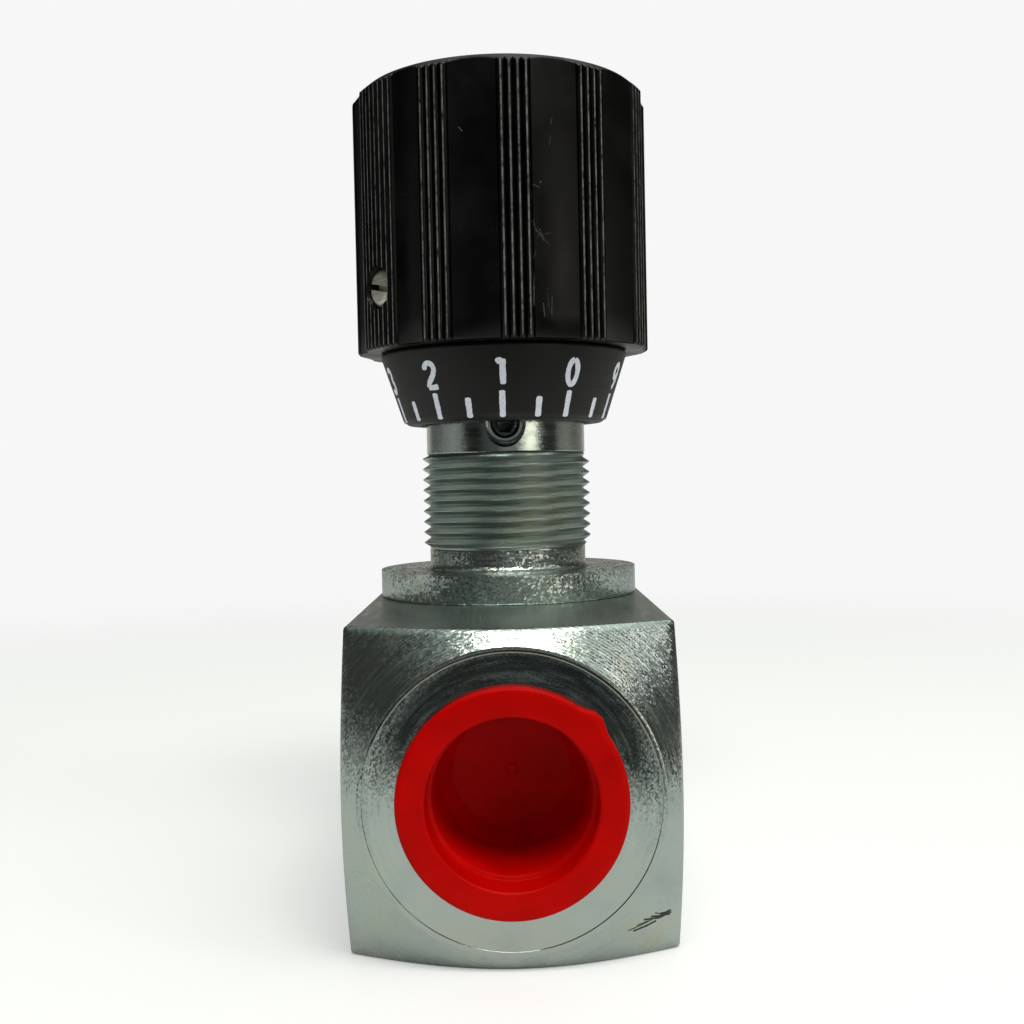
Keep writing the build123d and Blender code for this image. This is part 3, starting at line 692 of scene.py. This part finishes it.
# finish 1 is the bright flange and undercut, 2 the thread, and 0 all the rest
bonnet_finish = [1 if np.max(height) < thread_low - 0.2 and np.max(radius) > 11 else 0
                 for radius, height in bonnet_rows]
bonnet_finish[len(lower):len(lower) + len(thread)] = [2] * len(thread)
bonnet_piece = mesh_from_rows("bonnet_turned", bonnet_rows, around, upright, bands=bonnet_finish)
bonnet_piece.data.materials.append(zinc_bonnet)
bonnet_piece.data.materials.append(zinc_flange)
bonnet_piece.data.materials.append(zinc_thread)
pocket_height = 62.0
pocket_place = along_radius(0, pocket_height * MM)
flared = soften([(0, 9.9), (2.65, 9.9), (2.7, 10.9), (3.05, 11.2), (3.6, 11.6)], 0.25)
flared += [(3.6, 13), (0, 13)]
pocket = mesh_from_rows("pocket", flared, full_turn(48), pocket_place, closed=False)
screw_hole = mesh_from_rows("hole", [(0, 3), (2.03, 3), (2.03, 10.2), (0, 10.2)], full_turn(32),
                            pocket_place, closed=False)
bonnet_piece = cut(bonnet_piece, pocket, screw_hole)
attach(bonnet_piece, "valve", ["bonnet"], "zinc_bonnet")

# %% [markdown]
# ## Lock screw
# The lock screw in the bonnet is turned with its chamfer and thread, then a hexagon socket is
# cut into it with a grid of only six columns.

# %% Lock screw
lock_low, lock_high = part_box("lock_screw")
lock_outer, lock_inner = -lock_low.y / MM, -lock_high.y / MM
screw_turn = full_turn(48)
lock_rows = [(0, lock_outer), (1.35, lock_outer), (1.6, lock_outer - 0.06), (2.0, lock_outer - 0.45)]
lock_rows += thread_rows(screw_turn, 1.75, 2.0, lock_inner + 0.3, lock_outer - 0.5, 0.7)[::-1]
lock_rows += [(1.5, lock_inner), (0, lock_inner)]
lock_piece = mesh_from_rows("lock_grub_screw", lock_rows, screw_turn, pocket_place, closed=False)
hexagon_corner = 2.0 / math.sqrt(3)      # for 2 mm across the flats
socket_rows = [(0, lock_outer - 1.9), (hexagon_corner, lock_outer - 1.6),
               (hexagon_corner, lock_outer - 0.2), (hexagon_corner + 0.25, lock_outer + 0.1),
               (0, lock_outer + 0.1)]
hexagon = mesh_from_rows("socket", socket_rows, full_turn(6), pocket_place, closed=False)
lock_piece = cut(lock_piece, hexagon)
attach(lock_piece, "valve", ["lock_screw"], "zinc_screw", black_screw)

# %% [markdown]
# ## Set screw
# The knob's set screw is made in the same way, lying along a radius of the knob. Its slot is
# a square bar, squeezed thin and turned a little out of level.

# %% Set screw in the knob
screw_angle, screw_height, screw_size = -54.5, 80.4, 2.5
screw_end = 20.4
screw_rows = [(0, screw_end), (1.75, screw_end), (2.1, screw_end - 0.08), (screw_size, screw_end - 0.5)]
screw_rows += thread_rows(screw_turn, 2.15, screw_size, 5.4, screw_end - 0.6, 0.8)[::-1]
screw_rows += [(2.0, 5.05), (0, 5.05)]
set_place = along_radius(screw_angle, screw_height * MM)
set_piece = mesh_from_rows("knob_slotted_screw", screw_rows, screw_turn, set_place, closed=False)
slot_depth, slot_lean, slot_squeeze = 1.3, -12, 0.155
slot_rows = [(0, screw_end - slot_depth), (3.6, screw_end - slot_depth),
             (3.6, screw_end + 1), (0, screw_end + 1)]
slot_place = (set_place @ Matrix.Rotation(math.radians(slot_lean), 4, "Z")
              @ Matrix.Diagonal((1, slot_squeeze, 1, 1)))
slot_tool = mesh_from_rows("slot", slot_rows, full_turn(4) + math.pi / 4, slot_place, closed=False)
set_piece = cut(set_piece, slot_tool)
attach(set_piece, "control", ["knob_set_screw"], "zinc_screw", screw_steel)

# %% [markdown]
# ## Ridges of the knob
# The grip has twelve groups of four fine ridges, with shallow finger hollows between them.
# One group is wider, because the set screw sits in it. The radius is worked out for every
# angle: ridges from a sine, hollows from a parabola.

# %% Radius of the grip at each angle
group_centres = 5.5 + 30.0 * np.arange(12)
ridge_crest, ridge_depth, hollow_edge, hollow_middle = knob_radius / MM, 0.55, 0.30, 0.87


def grip_radius(degrees):
    """Radius of the grip in mm; degrees are counted from the front towards +X."""
    offsets = (degrees[:, None] - group_centres[None, :] + 180) % 360 - 180
    wide = np.abs((group_centres - screw_angle + 180) % 360 - 180) < 1
    halves = np.where(wide, 12.0, 6.0)
    nearest = np.argmin(np.abs(offsets) - halves, axis=1)
    offset = offsets[np.arange(len(degrees)), nearest]
    half = halves[nearest]
    ridges = ridge_crest - ridge_depth * (1 - np.abs(np.sin(math.pi * offset / 3))) ** 1.4
    # hollows: distance past the edge of the group, up to the middle of the gap
    past = np.abs(offset) - half
    beyond = np.sort(np.abs(offsets) - halves, axis=1)[:, 1]
    share = np.clip(2 * past / np.maximum(past + beyond, 1e-6), 0, 1)
    hollows = ridge_crest - hollow_edge - (hollow_middle - hollow_edge) * (1 - (1 - share) ** 2)
    return np.where(np.abs(offset) <= half, ridges, hollows)


knob_turn = full_turn(1440)
grip = grip_radius(np.degrees(knob_turn) + 90)
print("grip radius from", round(grip.min(), 2), "to", round(grip.max(), 2), "mm")

# %% [markdown]
# ## The knob
# Near the top the radius is held inside a bevel, which gives each ridge its rounded end. The
# inside is a stepped bore for the hub, and the hole for the set screw is cut through a side.

# %% Knob mesh
knob_base, knob_peak = knob_low.z / MM, knob_high.z / MM
rim, bevel_slope = 19.4, 1.18


def bevelled(height):
    """Grip radius held inside the top bevel."""
    return np.minimum(grip, rim + (knob_peak - height) * bevel_slope)


knob_rows = soften([(0, 101.1), (8.53, 101.1), (8.53, 77.0), (12.0, 77.0), (12.0, 75.65), (15.45, 75.65),
                    (15.45, knob_base), (18.2, knob_base)], 0.15, steps=2)
knob_rows += [(np.minimum(grip, ridge_crest - 0.45) - 0.1, knob_base), (grip - 0.22, knob_base + 0.06),
              (grip, knob_base + 0.3)]
knob_rows += [(bevelled(h), h) for h in np.linspace(knob_base + 4, knob_peak - 2.0, 8)]
knob_rows += [(bevelled(h), h) for h in np.linspace(knob_peak - 1.6, knob_peak - 0.25, 10)]
knob_rows += [(rim + 0.12, knob_peak - 0.1), (rim - 0.1, knob_peak)]
knob_rows += soften([(rim - 0.2, knob_peak), (rim - 2.2, knob_peak), (rim - 2.4, knob_peak - 0.8),
                     (2.0, knob_peak - 0.8), (0, knob_peak - 0.8)], 0.3)
knob_piece = mesh_from_rows("knob_moulding", knob_rows, knob_turn, upright, closed=False, sharp=50)
set_bore = mesh_from_rows("bore", [(0, 7), (2.53, 7), (2.53, 19.6), (3.2, 21.5), (0, 21.5)],
                          full_turn(32), set_place, closed=False)
knob_piece = cut(knob_piece, set_bore, sharp=50)
attach(knob_piece, "control", ["knob_grip"], "black_knob", knob_black)

# %% [markdown]
# ## The numbered collar
# The collar is a short cone under the knob. It carries the figures 0 to 9, one every 36
# degrees, each over a long mark, with a short mark half way between. They count up
# clockwise, seen from above, so the setting grows as the knob is opened.

# %% Collar mesh
collar_base = collar_low.z / MM
collar_foot, collar_wide, collar_edge = 14.6, collar_high.x / MM, 72.0
collar_rows = soften([(12.0, collar_base), (13.85, collar_base), (collar_foot, collar_base + 0.65),
                      (collar_wide, collar_edge), (collar_wide - 0.3, knob_base), (15.4, knob_base + 0.02),
                      (15.4, 75.6), (12.0, 75.6)], 0.35, closed=True)
collar_piece = mesh_from_rows("numbered_collar", collar_rows, full_turn(160), upright)
attach(collar_piece, "control", ["scale_ring"], "black_scale", collar_black)

# %% [markdown]
# ## Figures and marks
# Each figure is a few strokes. A stroke is a line of points that is given a width, rounded at
# both ends and wrapped onto the cone just proud of it, like paint that fills a groove. The
# width wavers a little, as it does when figures are filled by hand.

# %% Strokes of the ten figures
def arc(x, y, wide, high, start, end, steps=18):
    """Points along part of an ellipse, angles in degrees."""
    angles = np.radians(np.linspace(start, end, steps))
    return [(x + wide * math.cos(a), y + high * math.sin(a)) for a in angles]


FIGURES = {
    0: [arc(0, 1.85, 0.68, 1.5, 90, 450, 32)],
    1: [[(0.12, 3.42), (0.12, 2.4), (0.14, 1.4), (0.15, 0.35)], [(-0.62, 2.98), (-0.3, 3.2), (0.1, 3.3)]],
    2: [arc(-0.02, 2.6, 0.68, 0.75, 185, -25) + [(0.3, 1.75), (-0.35, 1.05), (-0.7, 0.35)],
        [(-0.7, 0.35), (0.1, 0.33), (0.85, 0.4)]],
    3: [arc(0, 2.62, 0.6, 0.7, 160, -80), arc(0, 1.1, 0.7, 0.8, 85, -160)],
    4: [[(0.35, 0.35), (0.35, 3.35)], [(0.35, 3.35), (-0.8, 1.15), (0.85, 1.15)]],
    5: [[(0.7, 3.3), (-0.5, 3.3), (-0.6, 1.95)], arc(-0.02, 1.3, 0.72, 0.95, 130, -150)],
    6: [arc(0, 1.15, 0.68, 0.82, 0, 360, 26), arc(0.45, 1.2, 1.12, 2.1, 180, 105)],
    7: [[(-0.75, 3.3), (0.72, 3.3), (-0.2, 0.35)]],
    8: [arc(0, 2.6, 0.56, 0.72, 0, 360, 24), arc(0, 1.08, 0.68, 0.75, 0, 360, 24)],
    9: [arc(0, 2.5, 0.66, 0.85, 0, 360, 26), arc(-0.45, 2.4, 1.1, 2.05, 0, -80)],
}


def figure_strokes(figure):
    """Strokes of a figure at its size on the collar."""
    return [[(x * 1.08, y * 1.12) for x, y in points] for points in FIGURES[figure]]


def stroke_outline(points, width, seed):
    """Left and right edge of a stroke, closer points added, ends rounded."""
    path = np.array(points, float)
    lengths = np.concatenate([[0], np.cumsum(np.hypot(*np.diff(path, axis=0).T))])
    total = lengths[-1]
    ends = 0.5 * width * (1 - np.cos(np.linspace(0, math.pi / 2, 6)))
    between = np.linspace(0.5 * width, total - 0.5 * width, max(4, int(total / 0.12)))
    places = np.unique(np.concatenate([ends, between, total - ends]))
    line = np.stack([np.interp(places, lengths, path[:, axis]) for axis in (0, 1)], axis=1)
    slope = np.gradient(line, axis=0)
    slope /= np.maximum(np.hypot(*slope.T), 1e-9)[:, None]
    side = np.stack([-slope[:, 1], slope[:, 0]], axis=1)
    from_end = np.minimum(places, total - places)
    round_off = np.sqrt(np.clip(1 - np.clip(1 - from_end / (0.22 * width), 0, 1) ** 2, 0.2, 1))
    waver = 1 + 0.045 * np.sin(places * 3.1 + seed) + 0.03 * np.sin(places * 8.7 + 2.3 * seed)
    half = (0.5 * width * round_off * waver)[:, None]
    return line + side * half, line - side * half


collar_lean = math.atan2(collar_wide - collar_foot, collar_edge - collar_base - 0.65)


def on_collar(degrees, rise):
    """Wrap for the cone: x runs round it from an angle, y runs up it from a rise above its foot."""
    def wrap(x, y, proud):
        height = collar_base + 0.65 + (y + rise) * math.cos(collar_lean)
        radius = collar_foot + (height - collar_base - 0.65) * math.tan(collar_lean) + proud
        a = math.radians(degrees) + x / (collar_foot + 1.5)
        return (radius * math.sin(a) * MM, -radius * math.cos(a) * MM, height * MM)
    return wrap


def paint(work, wrap, strokes, width, seed, thick=0.12, proud=0.03):
    """Adds strokes to a bmesh as thin closed lids; wrap turns (x, y, proud) in mm to a point."""
    for number, points in enumerate(strokes):
        left, right = stroke_outline(points, width, seed + number)
        rails = []
        for lift in (proud, proud - thick):
            for edge in (left, right):
                rails.append([work.verts.new(wrap(x, y, lift)) for x, y in edge])
        top_left, top_right, low_left, low_right = rails
        sides = ((top_left, top_right), (top_right, low_right), (low_right, low_left), (low_left, top_left))
        for a, b in sides:
            for i in range(len(a) - 1):
                work.faces.new((a[i], a[i + 1], b[i + 1], b[i]))
        work.faces.new((top_left[0], top_right[0], low_right[0], low_left[0]))
        work.faces.new((top_left[-1], low_left[-1], low_right[-1], top_right[-1]))


def painted_piece(name, body, slot_name, material, jobs):
    """A piece made of painted strokes; each job holds what paint is given."""
    work = bmesh.new()
    for job in jobs:
        paint(work, *job)
    mesh = bpy.data.meshes.new(name)
    work.to_mesh(mesh)
    work.free()
    attach(tidy_mesh(name, mesh, 60), body, [], slot_name, material)


# %% [markdown]
# ## Painting the scale
# Hand engraving is never quite even, so a few figures sit a little off their true places.
# Each figure stands over a long mark, and a short mark follows half way to the next.

# %% Paint the scale
STRAY = {0: -1.1, 1: 0.0, 2: 0.4, 9: -0.6}      # degrees
figure_rise = 3.75
jobs = []
for figure in range(10):
    degrees = 36 * (1 - figure) - 1.0 + STRAY.get(figure, 0)
    half_way = 36 * (1 - figure) - 18.4
    width = 0.74 if figure != 1 else 0.82
    jobs.append((on_collar(degrees, figure_rise), figure_strokes(figure), width, figure))
    jobs.append((on_collar(degrees, 0.0), [[(0, -0.3), (0, 1.6), (0, 3.35)]], 0.86, figure + 0.4))
    jobs.append((on_collar(half_way, 0.0), [[(0, -0.3), (0, 1.1), (0, 2.5)]], 0.88, figure + 0.7))
painted_piece("scale_paint", "control", "black_scale", paint_white, jobs)

# %% [markdown]
# ## Signs of use
# A knob that is turned for years picks up scuffs, and a plated corner gets rubbed. Each
# scratch is a thin stroke, made and wrapped in the same way as the figures. Being shapes, they
# stay where they are put and move with the knob when it turns.

# %% Scuffs on the grip and marks on the cone
def on_grip(x, y, proud):
    """Wrap for the grip: x runs round from the front in mm and y is the height."""
    a = x / (knob_radius / MM - 0.6)
    radius = grip_radius(np.array([math.degrees(a)]))[0] + proud
    return (radius * math.sin(a) * MM, -radius * math.cos(a) * MM, y * MM)


def on_cone(x, y, proud):
    """Wrap for the front cone of the body: x is across and y is the height."""
    radius = math.hypot(x, y - port_height / MM)
    depth = half_length - cone_slope * (radius - end_flat) + proud
    return (x * MM, -depth * MM, y * MM)


SCUFFS = [
    [(3.8, 87.2), (4.8, 85.9), (5.6, 85.2), (6.4, 84.1)], [(4.1, 87.3), (4.5, 86.0), (5.3, 85.3)],
    [(5.0, 86.3), (5.6, 84.7)], [(4.6, 85.2), (6.5, 85.9)], [(4.0, 91.8), (4.6, 91.7), (5.2, 91.4)],
    [(5.1, 92.1), (5.4, 92.3)], [(3.9, 90.8), (4.0, 89.9)], [(4.5, 83.5), (4.0, 82.4)],
    [(4.1, 80.6), (4.0, 76.4)], [(5.9, 78.8), (6.1, 76.2)], [(6.6, 77.8), (6.5, 75.3)],
    [(5.3, 76.9), (5.5, 75.1)], [(6.9, 98.3), (6.6, 97.0)],
    [(7.1, 100.6), (6.9, 99.7)], [(-5.2, 99.4), (-4.7, 98.8)], [(-7.1, 95.0), (-6.9, 94.4)],
]
scrape_thick, grip_proud, cone_proud = 0.05, 0.012, 0.008
jobs = [(on_grip, [points], 0.05 + 0.04 * (number % 3), number, scrape_thick, grip_proud)
        for number, points in enumerate(SCUFFS)]
painted_piece("grip_scuffs", "control", "black_knob", scuffed_nylon, jobs)

RUBS = [
    [(12.6, 3.9), (14.0, 4.3), (15.4, 4.8), (17.6, 5.6)], [(14.4, 5.0), (16.2, 4.8), (17.7, 5.2)],
    [(15.7, 5.6), (16.7, 5.2), (17.5, 4.9)], [(13.2, 3.7), (14.8, 4.1), (15.9, 4.5)],
    [(16.2, 5.4), (17.7, 5.4)],
    [(15.2, 5.2), (16.4, 5.05), (17.4, 5.3)], [(13.6, 4.4), (14.9, 4.7)],
]
jobs = [(on_cone, [points], 0.14 + 0.10 * (number % 2), number, scrape_thick, cone_proud)
        for number, points in enumerate(RUBS)]
painted_piece("corner_rub", "valve", "zinc_body", dark_rub, jobs)
scratch = [(-17.7, 11.1), (-15.9, 10.5), (-14.3, 9.5)]
painted_piece("corner_scratch", "valve", "zinc_body", screw_steel,
              [(on_cone, [scratch], 0.08, 1, scrape_thick, cone_proud)])

# %% [markdown]
# ## Transport plugs
# Each plug is a thin-walled cup with a flange. A small pointed tab on the flange gives
# the fingers something to pull. The flange's outer rows swell at one place to make it.

# %% Plug meshes
plug_flange, plug_wall, plug_inside = 12.9, 9.95, 9.6
plug_face = -plug_low.y / MM
tab_at, tab_reach, tab_spread = 44.0, 0.7, 8.8      # degrees, mm, degrees


def plug_rows(turn, mirror):
    """Rows of a plug in the port's own frame, front face at plug_face."""
    degrees = np.degrees(turn) % 360
    # the rear plug is a mirror image along the port, so its tab goes to the other side
    middle = 180 - tab_at if mirror else tab_at
    away = np.abs((degrees - middle + 180) % 360 - 180)
    tab = tab_reach * np.clip(1.25 - away / tab_spread, 0, 1) ** 1.4
    seat = plug_face - 1.15
    floor = half_length - 15.6
    cup = [(0, floor - 0.9), (9.0, floor - 0.9), (plug_wall, floor + 0.6)]
    for ring in (31.0, 34.5, 38.0):
        cup += [(plug_wall, ring), (10.12, ring + 0.3), (10.12, ring + 0.6), (plug_wall, ring + 0.9)]
    rows = soften(cup + [(plug_wall, seat), (12.2, seat)], 0.2)
    rows += [(plug_flange - 0.15 + tab, seat), (plug_flange - 0.02 + tab, seat + 0.15),
             (plug_flange + tab, seat + 0.4), (plug_flange + tab * 0.97, plug_face - 0.42),
             (plug_flange - 0.09 + tab * 0.85, plug_face - 0.2),
             (plug_flange - 0.3 + tab * 0.6, plug_face - 0.06), (plug_flange - 0.6 + tab * 0.3, plug_face)]
    rows += soften([(plug_flange - 0.9, plug_face), (9.82, plug_face), (9.62, plug_face - 0.2)], 0.2)
    rows += soften([(plug_inside, plug_face - 0.5), (plug_inside, plug_face - 3.85),
                    (9.05, plug_face - 4.05), (8.9, floor + 2.4), (7.2, floor + 0.5), (4.0, floor + 0.1),
                    (0.9, floor), (0.5, floor + 0.15), (0, floor + 0.15)], 0.12)
    return rows


plug_turn = full_turn(240)
for name, body, mirror in (("front_red_plug", "front_plug", False), ("rear_red_plug", "rear_plug", True)):
    side = Matrix.Diagonal((1, -1, 1, 1)) if mirror else Matrix.Identity(4)
    plug_piece = mesh_from_rows(name, plug_rows(plug_turn, mirror), plug_turn, side @ along_port,
                                closed=False, sharp=40)
    attach(plug_piece, body, ["port_plug_rear" if mirror else "port_plug_front"], "red_plastic", plug_red)

# %% [markdown]
# ## The check valve's spring
# The spring has to get shorter when the check valve opens. It is modelled again here as a
# coil with a mesh of its own.

# %% Spring coil of the check valve
spring_low, spring_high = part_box("check_spring")
wire, coil_radius, coils = 0.4, 4.0, 3.25
coil_turn = np.linspace(0, coils * 2 * math.pi, 157)
near, far = -spring_low.y / MM - wire, -spring_high.y / MM + wire
middle_line = near + (far - near) * coil_turn / coil_turn[-1]
# the wire thins to nothing at both ends, as if ground flat, and so the tube is closed there
ends = np.minimum(coil_turn, coil_turn[-1] - coil_turn) * coil_radius / (1.5 * wire)
thin = wire * np.sqrt(np.clip(1 - np.clip(1 - ends, 0, 1) ** 2, 0, 1))
wire_rows = [(coil_radius + thin * math.cos(a), middle_line + thin * math.sin(a))
             for a in full_turn(16)[:-1]]
spring_piece = mesh_from_rows("check_coil_spring", wire_rows, coil_turn, along_port)
attach(spring_piece, "valve", ["check_spring"], "spring_steel", spring_wire)
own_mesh(spring_piece)

# %% [markdown]
# ## The other pieces inside
# They have the right shape already, so they stay as they were measured and only get their
# finish. Some show when a plug is pulled or the knob is raised.

# %% Finishes of the inner pieces
FINISHES = {
    ground_steel: ["spindle", "throttle_needle", "swivel_pins", "needle_guide_pin", "check_poppet",
                   "spring_guide"],
    spring_wire: ["stop_ring", "retaining_ring"],
    turned_brass: ["knob_hub", "lock_pad"],
    nitrile: ["bonnet_o_ring", "spindle_o_ring"],
    ptfe: ["spindle_backup_ring"],
}
for material, names in FINISHES.items():
    for name in names:
        node = frame["nodes"][name]
        node.data.materials.clear()
        node.data.materials.append(material)
    print(material.name, "on", ", ".join(names))

# %% [markdown]
# ## Floor
# The valve stands on a plain pale sheet that fades into an even pale surround. The camera
# sees it lifted a little, to one even pale ground. Reflections see it plain, with a near edge
# in front of the valve, which puts a clean line between light and dark into the metal.

# %% Pale floor
floor_half = 2.0
camera_lift = 0.34
seen_from, seen_to = 0.10, 0.45            # metres from the valve over which the eye loses it
edge_from, edge_to = 0.119, 0.126          # metres ahead where the mirrored edge lies
floor_mesh = bpy.data.meshes.new("floor")
corners = [(x * floor_half, y * floor_half, 0) for x, y in ((-1, -1), (1, -1), (1, 1), (-1, 1))]
floor_mesh.from_pydata(corners, [], [(0, 1, 2, 3)])
floor = bpy.data.objects.new("floor", floor_mesh)
bpy.context.collection.objects.link(floor)
floor.location = (0, 0, -0.02 * MM)
sheet, tree, shader = start_material("pale_paper_sheet", Roughness=0.85, IOR=1.3)
shader.inputs["Base Color"].default_value = linear("#EFEFEE")
place = add_node(tree, "TexCoord").outputs["Object"]
reach = add_node(tree, "VectorMath", {"operation": "LENGTH"}, links={0: place})
by_eye = add_node(tree, "LightPath").outputs["Is Camera Ray"]
# the eye sees the sheet melt slowly into the surround; the metal mirrors the near edge of it,
# which lies a palm's width in front of the valve and not quite square to it
seen_fade = add_node(tree, "MapRange", {"interpolation_type": "SMOOTHSTEP"},
                     {"From Min": seen_from, "From Max": seen_to}, {"Value": reach.outputs["Value"]})
ahead = add_node(tree, "VectorMath", {"operation": "DOT_PRODUCT"}, {1: (0.26, -1.0, 0.0)},
                 {0: place})
mirror_fade = add_node(tree, "MapRange", values={"From Min": edge_from, "From Max": edge_to},
                       links={"Value": ahead.outputs["Value"]})
fade = add_node(tree, "Mix", {"data_type": "FLOAT"},
                links={"Factor": by_eye, "A": mirror_fade, "B": seen_fade})
lift = add_node(tree, "Math", {"operation": "MULTIPLY"}, {1: camera_lift}, {0: by_eye})
shader.inputs["Emission Color"].default_value = (1, 1, 1, 1)
tree.links.new(lift.outputs[0], shader.inputs["Emission Strength"])
clear = add_node(tree, "BsdfTransparent")
blend = add_node(tree, "MixShader",
                 links={0: fade, 1: shader, 2: clear})
tree.links.new(blend.outputs[0], tree.nodes["Material Output"].inputs["Surface"])
floor_mesh.materials.append(sheet)
print("floor sheet:", sheet.name)

# %% [markdown]
# ## Studio world
# What the metal mirrors matters more than the lamps. So the world is drawn as a small studio
# that only reflections and soft light see: grey walls, a warm bright window to the right, and
# dark gaps on both sides. The camera itself sees an even pale grey.

# %% Studio world
world = bpy.data.worlds.new("studio")
bpy.context.scene.world = world
world.use_nodes = True
tree = world.node_tree
place = add_node(tree, "TexCoord").outputs["Generated"]
parts = add_node(tree, "SeparateXYZ", links={0: place})
back = add_node(tree, "Math", {"operation": "MULTIPLY"}, {1: -1.0}, {0: parts.outputs["Y"]})
bearing = add_node(tree, "Math", {"operation": "ARCTAN2"}, links={0: parts.outputs["X"], 1: back})
share = add_node(tree, "MapRange", values={"From Min": -math.pi, "From Max": math.pi},
                 links={"Value": bearing})
walls = add_node(tree, "ValToRGB", links={"Fac": share})
# (degrees from the front towards +X, brightness, warmth)
WALLS = [(-180, 0.62, 0.1), (-150, 0.50, 0.1), (-132, 0.13, 0.0), (-110, 0.15, 0.0), (-80, 0.36, 0.0),
         (-66, 0.22, 0.0), (-57, 0.015, 0.0), (-38, 0.012, 0.0), (-28, 0.09, 0.0), (-12, 0.10, 0.0),
         (-5, 0.25, 0.0), (8, 0.25, 0.0), (17, 0.18, 0.1), (25, 0.9, 0.1), (31, 1.9, 0.15),
         (42, 1.9, 0.15), (49, 0.3, 0.1), (56, 0.02, 0.0), (76, 0.03, 0.0), (84, 0.24, 0.1),
         (101, 0.24, 0.1), (118, 0.15, 0.1), (142, 0.26, 0.1), (156, 0.50, 0.1), (180, 0.62, 0.1)]
ramp = walls.color_ramp
while len(ramp.elements) < len(WALLS):
    ramp.elements.new(0.5)
for stop, (degrees, bright, warm) in zip(ramp.elements, WALLS):
    stop.position = (degrees + 180) / 360
    stop.color = (bright * (1 + 0.4 * warm), bright, bright * (1 - warm), 1)
# the walls are bright only near eye level, dim out above it, and meet a light ceiling overhead
dim = add_node(tree, "MapRange", {"interpolation_type": "SMOOTHSTEP"},
               {"From Min": 0.08, "From Max": 0.26}, {"Value": parts.outputs["Z"]})
upper = add_node(tree, "Mix", {"data_type": "RGBA"}, {"B": (0.04, 0.042, 0.04, 1)},
                 {"Factor": dim, "A": walls.outputs["Color"]})
crown = add_node(tree, "MapRange", {"interpolation_type": "SMOOTHSTEP"},
                 {"From Min": 0.62, "From Max": 0.85}, {"Value": parts.outputs["Z"]})
side = add_node(tree, "MapRange", {"interpolation_type": "SMOOTHSTEP"},
                {"From Min": -0.45, "From Max": 0.15}, {"Value": parts.outputs["X"]})
ceiling = add_node(tree, "Mix", {"data_type": "RGBA"},
                   {"A": (0.24, 0.28, 0.26, 1), "B": (0.95, 1.02, 0.94, 1)}, {"Factor": side})
above = add_node(tree, "Mix", {"data_type": "RGBA"},
                 links={"Factor": crown, "A": upper.outputs["Result"],
                        "B": ceiling.outputs["Result"]})
below = add_node(tree, "MapRange", {"interpolation_type": "SMOOTHSTEP"},
                 {"From Min": -0.11, "From Max": -0.14}, {"Value": parts.outputs["Z"]})
ground = add_node(tree, "Mix", {"data_type": "RGBA"}, {"B": (0.02, 0.024, 0.024, 1)},
                  {"Factor": below, "A": above.outputs["Result"]})
paths = add_node(tree, "LightPath")
seen = add_node(tree, "Mix", {"data_type": "RGBA"}, {"B": (0.93, 0.93, 0.93, 1)},
                {"Factor": paths.outputs["Is Camera Ray"], "A": ground.outputs["Result"]})
tree.links.new(seen.outputs["Result"], tree.nodes["Background"].inputs["Color"])
print("world has", len(ramp.elements), "bearings")

# %% [markdown]
# ## Lamps
# Three soft boxes light the valve from in front and above. A lamp's power is worked out from
# how bright its face is and how large it is. The last one only fills in shadows and is not
# mirrored in the metal.

# %% Lamps
lamp_target = Vector((0, 0, 0.045))


def soft_lamp(name, bearing, height, distance, wide, high, radiance, colour, mirrored=True):
    """Rectangular lamp at a bearing and height in degrees, aimed at lamp_target."""
    data = bpy.data.lights.new(name, "AREA")
    data.shape = "RECTANGLE"
    data.size, data.size_y = wide, high
    data.energy = radiance * math.pi * wide * high
    data.color = linear(colour)[:3]
    lamp = bpy.data.objects.new(name, data)
    bpy.context.collection.objects.link(lamp)
    flat = distance * math.cos(math.radians(height))
    offset = Vector((flat * math.sin(math.radians(bearing)), -flat * math.cos(math.radians(bearing)),
                     distance * math.sin(math.radians(height))))
    lamp.location = lamp_target + offset
    lamp.rotation_euler = offset.to_track_quat("Z", "Y").to_euler()
    lamp.visible_camera = False
    lamp.visible_glossy = mirrored
    print(name, round(data.energy, 2), "W")


soft_lamp("overhead_box", 8, 60, 0.8, 0.44, 0.28, 7.0, "#FFFDF8")
soft_lamp("side_box", 62, 34, 0.8, 0.16, 0.26, 2.2, "#FFFDF8")
soft_lamp("high_fill", 46, 48, 0.9, 0.5, 0.5, 1.0, "#FFFFFF", mirrored=False)
